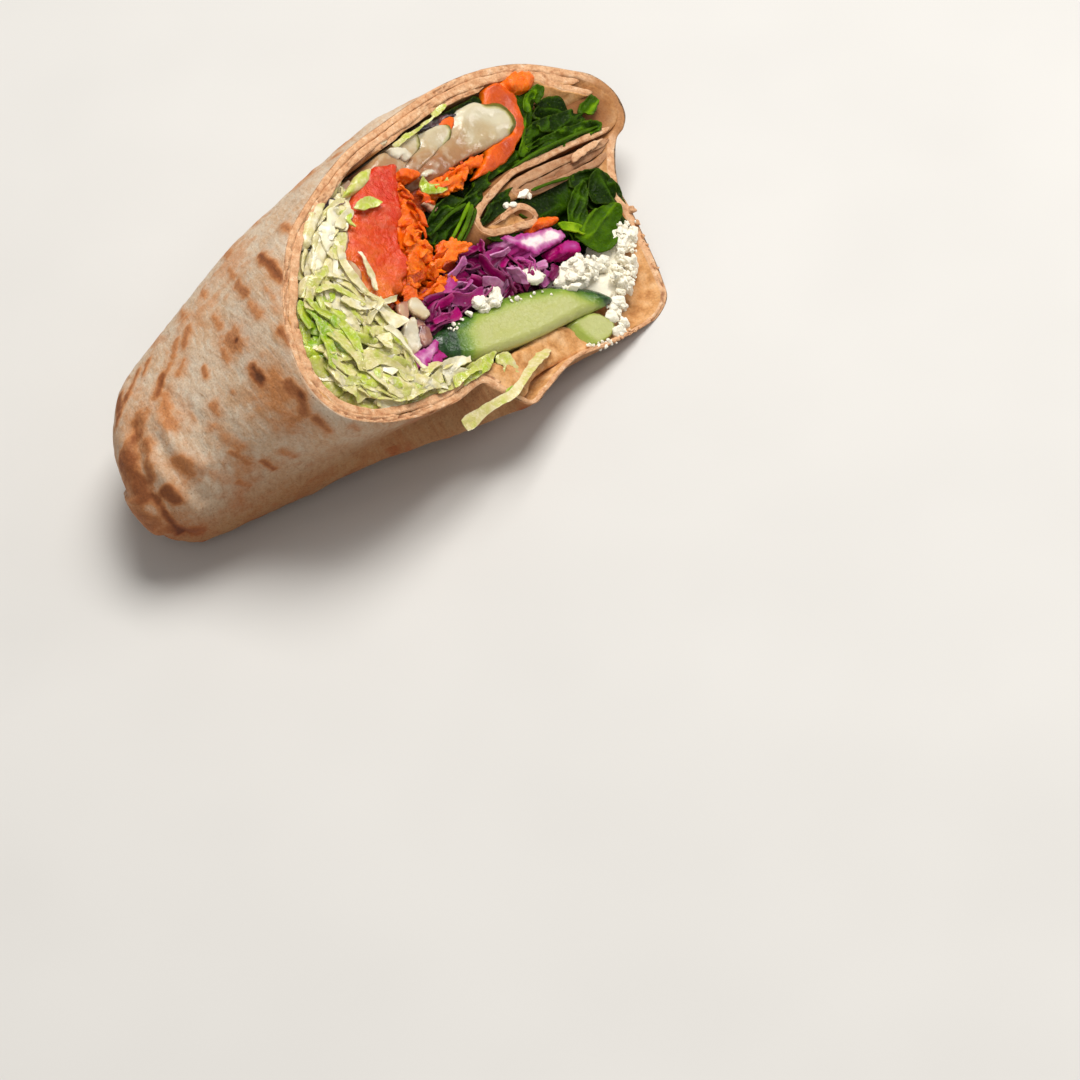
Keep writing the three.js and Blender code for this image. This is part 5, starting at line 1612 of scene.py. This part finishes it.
def add_stem(piece, line, radius, tone):
    sides, steps = STEM_SIDES, STEM_STEPS
    path = open_curve(line, steps)
    centre = at_cut(path[:, 0], path[:, 1], path[:, 2])
    tangent = np.gradient(centre, axis=0)
    wide = unit(np.cross(tangent, NORMAL))
    up = unit(np.cross(wide, tangent))
    ends = np.minimum(np.arange(steps), np.arange(steps)[::-1])
    size = radius * np.clip(0.6 + 0.2 * ends, 0, 1) * (1 + 0.25 * noise(centre, 3, 9))
    turns = np.arange(sides) / sides * math.tau
    rows = centre[:, None] + size[:, None, None] * (
        np.cos(turns)[None, :, None] * wide[:, None] + 0.75 * np.sin(turns)[None, :, None] * up[:, None])
    points = np.vstack([rows.reshape(-1, 3), centre[0], centre[-1]])
    tris = np.vstack([fan(np.arange(sides), steps * sides),
                      fan((steps - 1) * sides + np.arange(sides), steps * sides + 1, flip=True)])
    piece.add(points, grid(steps, sides, close_columns=True), tris, tone=tone, vein=0.2)


def make_spinach():
    for number, name in enumerate(LEAVES):
        piece = Piece("tone", "vein")
        # Painted shade: the core under the leaves has the darkest spinach colour, for the shade in the gaps
        # between them.
        add_slab(piece, SPINACH_CORES[name], bumpy(-4.5, 0.8, 4, 400), 12, samples=150, spacing=0.9,
                 bevel=0.8, ragged=0.2, relief=0.4, seed=401)
        for k, leaf in enumerate(LEAVES[name]):
            add_leaf(piece, *leaf, seed=410 + 60 * number + 5 * k)
        for stem in STEMS[name]:
            add_stem(piece, *stem)
        piece.build(name + "_leaves", SPINACH, "spinach_leaf", [name])


make_spinach()

# ---- White cheese, crumbs and scraps ----


def icosphere(levels):
    g = (1 + 5 ** 0.5) / 2
    points = [(-1, g, 0), (1, g, 0), (-1, -g, 0), (1, -g, 0), (0, -1, g), (0, 1, g), (0, -1, -g), (0, 1, -g),
              (g, 0, -1), (g, 0, 1), (-g, 0, -1), (-g, 0, 1)]
    faces = [(0, 11, 5), (0, 5, 1), (0, 1, 7), (0, 7, 10), (0, 10, 11), (1, 5, 9), (5, 11, 4), (11, 10, 2),
             (10, 7, 6), (7, 1, 8), (3, 9, 4), (3, 4, 2), (3, 2, 6), (3, 6, 8), (3, 8, 9), (4, 9, 5),
             (2, 4, 11), (6, 2, 10), (8, 6, 7), (9, 8, 1)]
    points = [np.array(p) / np.linalg.norm(p) for p in points]
    for _ in range(levels):
        middles, finer = {}, []
        for a, b, c in faces:
            mids = []
            for pair in ((a, b), (b, c), (c, a)):
                key = tuple(sorted(pair))
                if key not in middles:
                    middle = points[key[0]] + points[key[1]]
                    middles[key] = len(points)
                    points.append(middle / np.linalg.norm(middle))
                mids.append(middles[key])
            ab, bc, ca = mids
            finer += [(a, ab, ca), (b, bc, ab), (c, ca, bc), (ab, bc, ca)]
        faces = finer
    return np.array(points), np.array(faces)


BALLS = [icosphere(n) for n in range(5)]
FACETS = 10  # flat faces of a broken crumb


def add_lump(piece, u, v, h, size, seed, level=2, rough=0.12, stretch=(1, 1, 1), turn=0.0, **fields):
    """A crumb: a ball cut by random planes, roughened."""
    ball, faces = BALLS[level]
    draw = np.random.default_rng(seed)
    planes = unit(draw.normal(size=(FACETS, 3)))
    offsets = draw.uniform(0.62, 1.0, FACETS)
    reach = 1 / np.maximum((ball @ planes.T) / offsets, 0.05)
    reach = np.minimum(reach.min(1), 1.35)
    shift = np.array((seed % 97, seed % 89, seed % 83))
    place = ball * 2 + shift
    reach = reach + rough * (noise(place, 0.9, seed) + 0.7 * noise(place, 0.4, seed + 1))
    local = ball * reach[:, None] * size * np.asarray(stretch)
    c, s = math.cos(turn), math.sin(turn)
    x, y, z = local[:, 0] * c - local[:, 1] * s, local[:, 0] * s + local[:, 1] * c, local[:, 2]
    points = at_cut(u, v, h) + x[:, None] * AXIS_U + y[:, None] * AXIS_V + z[:, None] * NORMAL
    piece.add(points, None, faces, **fields)


def scatter(piece, region, count, sizes, level, draw, ball=2, lift=0.6, **fields):
    low, high = np.min(region, 0), np.max(region, 0)
    placed = 0
    while placed < count:
        u, v = draw.uniform(low[0], high[0]), draw.uniform(low[1], high[1])
        if not inside(u, v, region):
            continue
        size = sizes[0] + (sizes[1] - sizes[0]) * draw.random() ** 2
        add_lump(piece, u, v, level + draw.uniform(-0.5, lift), size, draw.randrange(10 ** 6), ball, 0.14,
                 (1, draw.uniform(0.65, 1.1), draw.uniform(0.6, 0.9)), draw.uniform(0, 6.28), **fields)
        placed += 1


CHEESE_RIGHT = [
    (40.1, 17.6), (44.6, 19.5), (45.3, 16.5), (44.1, 11.8), (45.2, 8.6), (43.7, 5.2), (44.4, 3.3),
    (42.9, -0.3), (40.4, -0.8), (37.9, 1.9), (38.3, 4.9), (40.8, 7.9), (40.2, 10.5), (39.8, 13.9),
]
CHEESE_BLOCK = [(25.9, 1.5), (28, 3.6), (32.3, 6.1), (33.8, 4.1), (33.5, -0.2), (30.1, -2.2), (28, -2),
    (26.2, -1.2)]
# Heaps of crumbs: the node they belong to, where, how many, sizes, level, fineness, lift.
CHEESE_HEAPS = [
    ("right", CHEESE_RIGHT, 20, (1.3, 2.7), -0.4, 4, 0.9),
    ("right", CHEESE_RIGHT, 90, (0.3, 1.0), 0.9, 2, 1.0),
    ("right", [(33.7, 6.2), (37.3, 9.2), (39.4, 9.5), (38, 5.5), (35.1, 3.8)], 9, (0.9, 1.9), -0.6, 3, 0.6),
    ("right", [(37.9, -3.7), (42.9, -1.7), (43.6, -3.3), (41.4, -5.4), (42.1, -7.9), (44.2, -9.3),
      (42, -12.1), (39.9, -12.1), (41, -9), (39.2, -7.4)], 34, (0.4, 1.6), -0.5, 3, 0.5),
    ("right", [(33, -17), (38.6, -14.1), (42.1, -13.2), (37.9, -16.6)], 22, (0.25, 0.8), -0.6, 1, 0.5),
    ("right", [(37, 4), (43, 20), (46, 12), (44, -2)], 26, (0.2, 0.6), 0.8, 1, 0.8),
    ("middle", CHEESE_BLOCK, 6, (1.8, 2.9), 0.4, 4, 0.5),
    ("middle", CHEESE_BLOCK, 34, (0.3, 0.9), 1.5, 2, 0.6),
    ("middle", [(-0.8, -20.7), (1.2, -17.2), (3.9, -13.9), (6.6, -12.4), (8.7, -14), (5.3, -16.8),
      (1.2, -20.4)], 22, (0.6, 1.9), 0.6, 3, 0.5),
    ("middle", [(-6.6, -27), (-4, -23), (-2, -22.4), (-4, -27)], 12, (0.25, 0.5), 1.1, 1, 0.3),
    ("middle", [(8, -13.6), (26, -4.4), (27, -5.6), (10, -14)], 18, (0.3, 0.7), 1.0, 1, 0.4),
]
# U, v, h, size.
CHEESE_LUMPS = [
    (16.4, -5, 1.0, 2.2), (18.2, -4.2, 1.0, 1.5), (27.4, -4.4, 1.5, 1.5), (14.2, -4.6, 0.9, 0.9),
    (22.6, -4.6, 1.1, 0.8), (13.6, 16.6, 1.0, 1.3), (15.2, 16.9, 0.9, 0.9), (9.4, 12.5, 0.2, 0.8),
    (11.2, 13.2, 0.3, 0.8), (-0.2, -38.4, -0.4, 0.5),
]


def make_cheese():
    draw = random.Random(601)
    pieces = {"right": Piece(), "middle": Piece()}
    add_slab(pieces["right"], CHEESE_RIGHT, bumpy(-0.9, 0.9, 3, 600), 8, samples=110, bevel=1.0, ragged=0.5,
             relief=0.45, relief_size=1.6, seed=602)
    add_slab(pieces["middle"], CHEESE_BLOCK, bumpy(0.5, 0.7, 3, 610), 8, samples=90, bevel=0.9, ragged=0.45,
             relief=0.4, relief_size=1.5, seed=611)
    for side, region, count, sizes, level, ball, lift in CHEESE_HEAPS:
        scatter(pieces[side], region, count, sizes, level, draw, ball, lift)
    for u, v, h, size in CHEESE_LUMPS:
        add_lump(pieces["middle"], u, v, h, size, int(u * 31 + v * 17) % 997, 3, 0.08, (1.2, 0.8, 0.7), 0.7)
    pieces["right"].build("cheese_crumbs_right", CHEESE, "white_cheese", ["feta_right"], sharp=40)
    pieces["middle"].build("cheese_crumbs_middle", CHEESE, "white_cheese", ["feta_middle"], sharp=40)


make_cheese()

# Scraps of onion, seeds and the like: outline, level, tone.
ONION_SCRAPS = [
    ([(-15.9, -26.4), (-14.5, -25.7), (-13.4, -28), (-12.6, -30.6), (-12.1, -32.4), (-13.3, -34.3),
      (-15.2, -33.4), (-16.6, -31.3), (-16.6, -28.5)], 1.0, 0.0),
    ([(-15.6, -21.2), (-14.2, -20.5), (-12.5, -21.6), (-11, -23.6), (-11.5, -25.2), (-13, -25.4),
      (-14.6, -24.4), (-15.7, -23)], 1.7, 0.1),
    ([(-18.6, -23.5), (-15.9, -21.4), (-15.3, -23.8), (-15.7, -26.4), (-17.2, -27.4), (-18.5, -25.7)], 0.9,
      0.5),
    ([(-12.9, -27.6), (-11, -26.9), (-9.4, -28.6), (-9.4, -30.6), (-11, -32.1), (-12.8, -31.2)], 1.2, 0.72),
    ([(-13.2, -24.4), (-11.9, -24.6), (-11.1, -25.9), (-11, -27.2), (-12.7, -27.7), (-13.4, -26.2)], 0.7,
      0.62),
    ([(-32.3, -16.8), (-30.2, -16.1), (-28.1, -18.1), (-28.3, -20), (-30.5, -19.4), (-31.8, -18.3)], 1.3,
      0.4),
    ([(-12.8, 5.5), (-9.7, 6.3), (-8.7, 5.9), (-10.3, 4.1), (-11.6, 4.8)], 1.2, 0.45),
    ([(-11.6, 28.1), (-10.6, 30.1), (-8, 32.1), (-4.4, 34.5), (-2.8, 34.5), (-4.9, 32.9), (-6.4, 30.7),
      (-9, 29.3)], -0.8, 1.0),
    ([(-21.7, 17.5), (-19.7, 18.6), (-17.1, 18.9), (-15.5, 18.1), (-16.6, 16.8), (-18.4, 16.8),
      (-19.1, 15.9), (-20.7, 16.6)], 0.7, 0.0),
    ([(-13.3, 13), (-11.9, 14.8), (-10.1, 15.7), (-9.7, 15.1), (-11.4, 13.5), (-12.6, 12.9)], 1.3, 0.0),
    ([(-34.8, -14.8), (-35.4, -13.4), (-35, -8.7), (-32.2, -7.8), (-31.7, -12.1), (-33.6, -15.6)], 0.6,
      0.42),
    ([(-37.5, -1.9), (-35.2, -0.3), (-32.1, 0), (-33.6, -2.6), (-35.9, -3.4)], 0.2, 0.85),
    ([(21.6, -19.6), (25.2, -15), (29.1, -11.7), (31.8, -12), (30.7, -15.3), (26.6, -19.4), (23.1, -20.5)],
      -2.2, 0.5),
    ([(-25.3, 21), (-23.8, 23), (-21.9, 22.9), (-21.5, 20.8), (-23, 18.4), (-24.9, 19)], 0.3, 0.12),
]
# Loose scraps of leaf: outline, tone, level, slope.
LETTUCE_SCRAPS = [
    ([(-31.2, -2.6), (-29.7, -0.4), (-27.4, 1.5), (-24, 1.1), (-26.1, -0.8), (-29.6, -2.7)], 0.66, 1.7,
      (0, 0.1)),
    ([(-34.3, -4.5), (-32.8, -3.1), (-31.6, -4.3), (-31.9, -6.5), (-30.5, -7.6), (-31.8, -7.7),
      (-33.1, -6.1)], 0.7, 1.3, (0, 0)),
    ([(-13.8, 11.9), (-11.4, 10.8), (-8.7, 11.6), (-7.1, 14.1), (-6.9, 11.1), (-10, 8.6), (-13.2, 8.3)],
      0.72, 1.2, (0.05, 0.1)),
    ([(-20.2, 19.6), (-18.2, 22), (-14.7, 25.6), (-11.6, 29.4), (-9.1, 33.6), (-7.3, 34.7), (-9.3, 31.1),
      (-11.6, 28.1), (-14.7, 24.6), (-17.2, 21.5), (-19.2, 19.2)], 0.5, 0.1, (0.1, 0)),
    ([(-3.4, -39.4), (-0.6, -34.3), (4, -29.8), (6.9, -28), (5.3, -32.7), (2.7, -35.6), (-1.2, -39.2)],
      0.62, 0.5, (0, 0.05)),
    ([(8.6, -27.3), (11.3, -25.9), (14.4, -30.9), (12.8, -31.8), (9.9, -29.8)], 0.45, -0.6, (0, 0)),
    ([(9.6, -37.2), (11.2, -35.4), (14.1, -35.1), (12.7, -37.4), (10, -38.3)], 0.95, 0.4, (0, 0)),
    ([(1.4, -33.2), (6, -31), (11.6, -27.6), (15.8, -24.6), (13.4, -28.4), (8, -32.4), (3.4, -34.6)], 0.3,
      -1.6, (0, 0)),
    ([(15, -25), (20.4, -21.6), (25, -18.2), (22, -21.6), (17.6, -25.6)], 0.35, -1.8, (0, 0)),
]
STRAND = [
    (24.6, -18.9, -2.4), (20.4, -23.9, -0.4), (17.6, -27.5, 0.8), (14.9, -31.7, 1.7), (12.5, -35.8, 2.4),
    (10.2, -39.1, 2.5), (6.8, -41.8, 2.0), (3.5, -44.8, 0.8), (0.2, -48.6, -0.6),
]
BREAD_CRUMBS = [(44.4, 23.4, 1.0), (46.0, 20.4, 0.7), (47.6, 17.2, 0.5), (46.2, 18.6, 0.45)]


RIM_CRUMBS = 46  # small crumbs along the edge of the flap, at most
RIM_CRUMBS_FROM = 2.0  # height over the floor above which they lie


def make_scraps():
    piece = Piece("tone")
    for k, (outline, level, tone) in enumerate(ONION_SCRAPS):
        tilt = (0.12 * math.sin(2.1 * k), 0.12 * math.cos(1.7 * k))
        front = bumpy(level - 0.7, 0.35, 3, 700 + k, np.mean(outline, 0), tilt)
        add_slab(piece, outline, front, 0, samples=80, spacing=0.3, bevel=0.2, ragged=0.25,
                 ragged_size=0.9, relief=0.05, seed=701 + k, thin=0.8,
                 tone=lambda u, v, e: (
                     tone + 0.2 * noise(place_of(u, v), 1.5, 715) + 0.15 * (1 - smoothstep(e, 0, 0.6))))
    piece.build("onion_and_seeds", ONION, "onion_flesh", ["onion"])
    piece = Piece("tone", "edge")
    for k, (outline, tone, level, slope) in enumerate(LETTUCE_SCRAPS):
        front = bumpy(level, 0.6, 2, 720 + k, np.mean(outline, 0), slope)
        add_slab(piece, outline, front, 0, samples=56, spacing=0.4, bevel=0.0, ragged=0.3, relief=0.12,
                 relief_size=0.8, seed=721 + k, thin=0.45, tone=tone,
                 edge=lambda u, v, e: 1 - smoothstep(e, 0, 0.4))
    path = open_curve(STRAND, 36)
    steps = np.linspace(0, 1, len(path))
    width = 2.7 + 0.6 * np.sin(0.5 + 7 * steps)
    lay_strip(piece, path, path[:, 2], 0.35 + 0.5 * np.sin(5 * steps), width, 0.5,
              curl=0.35, rough=0.2, seed=730, tone=0.3, edge=0.6)
    piece.build("lettuce_scraps", LETTUCE, "pale_lettuce", ["lettuce_strand"], sharp=45)
    piece = Piece("toast", "cut", "inner", "crack", "along", "around")
    draw = random.Random(740)
    for u, v, size in BREAD_CRUMBS:
        add_lump(piece, u, v, 0.3, size, int(u * 7), 2, 0.2, cut=1.0)
    span = sorted((nearest_share((47, 20)), nearest_share((38, -14))))
    for _ in range(RIM_CRUMBS):
        place = rim_curve[int(draw.uniform(*span) * RIM_SAMPLES)]
        size = draw.uniform(0.15, 0.42)
        if at_cut(*place)[2] > RIM_CRUMBS_FROM:
            add_lump(piece, place[0] - draw.uniform(0, 1.4), place[1], draw.uniform(-0.3, 0.3), size,
                     draw.randrange(10 ** 6), 1, 0.2, cut=1.0)
    piece.build("bread_crumbs", BREAD, "bread")


make_scraps()

# ---- Floor, light and camera ----

FLOOR_SIZE = 3.0
WORLD_COLOR = (1, 0.99, 0.97, 1)
WORLD_STRENGTH = 0.25
AIM = (0, 0, 0.03)
LIGHTS = (  # name, place, size, power, colour
    ("key", (0.34, 0.2, 1.0), 0.6, 13.0, (1, 0.98, 0.94)),
    ("fill", (-0.32, -0.62, 0.75), 0.5, 1.2, (1, 0.95, 0.88)),
    ("glint", (0.8, -0.16, 0.42), 0.22, 0.9, (1, 1, 1)),
)
CAMERA_PLACE = (-0.20105, -0.51613, 0.63134)
CAMERA_RIGHT = (0.85078, -0.51504, -0.10446)
CAMERA_UP = (0.46405, 0.64297, 0.6093)
CAMERA_BACK = (-0.24665, -0.56685, 0.78603)
CAMERA_LENS = 118.57
SENSOR = 36.0
CLIPPING = (0.01, 20)


def make_stage():
    bpy.ops.mesh.primitive_plane_add(size=FLOOR_SIZE, location=(0, 0, 0))
    floor = bpy.context.object
    floor.name = "floor"
    s = Shader("floor", Roughness=0.7)
    s.color(s.ramp(s.noise(60, 2), (0.3, "d0cecb"), (0.7, "d4d2cf")))
    floor.data.materials.append(s.material)
    world = bpy.data.worlds.new("studio")
    bpy.context.scene.world = world
    world.use_nodes = True
    world.node_tree.nodes["Background"].inputs["Color"].default_value = WORLD_COLOR
    world.node_tree.nodes["Background"].inputs["Strength"].default_value = WORLD_STRENGTH
    for name, place, size, power, tint in LIGHTS:
        data = bpy.data.lights.new(name, "AREA")
        data.size, data.energy, data.color = size, power, tint
        lamp = bpy.data.objects.new(name, data)
        lamp.location = place
        lamp.rotation_euler = (Vector(AIM) - Vector(place)).to_track_quat("-Z", "Y").to_euler()
        bpy.context.scene.collection.objects.link(lamp)
    data = bpy.data.cameras.new("camera")
    data.lens, data.sensor_width = CAMERA_LENS, SENSOR
    data.clip_start, data.clip_end = CLIPPING
    camera = bpy.data.objects.new("camera", data)
    camera.matrix_world = Matrix([
        (CAMERA_RIGHT[i], CAMERA_UP[i], CAMERA_BACK[i], CAMERA_PLACE[i]) for i in range(3)] + [(0, 0, 0, 1)])
    bpy.context.scene.collection.objects.link(camera)
    bpy.context.scene.camera = camera
    bpy.context.scene.view_settings.view_transform = "Standard"


make_stage()
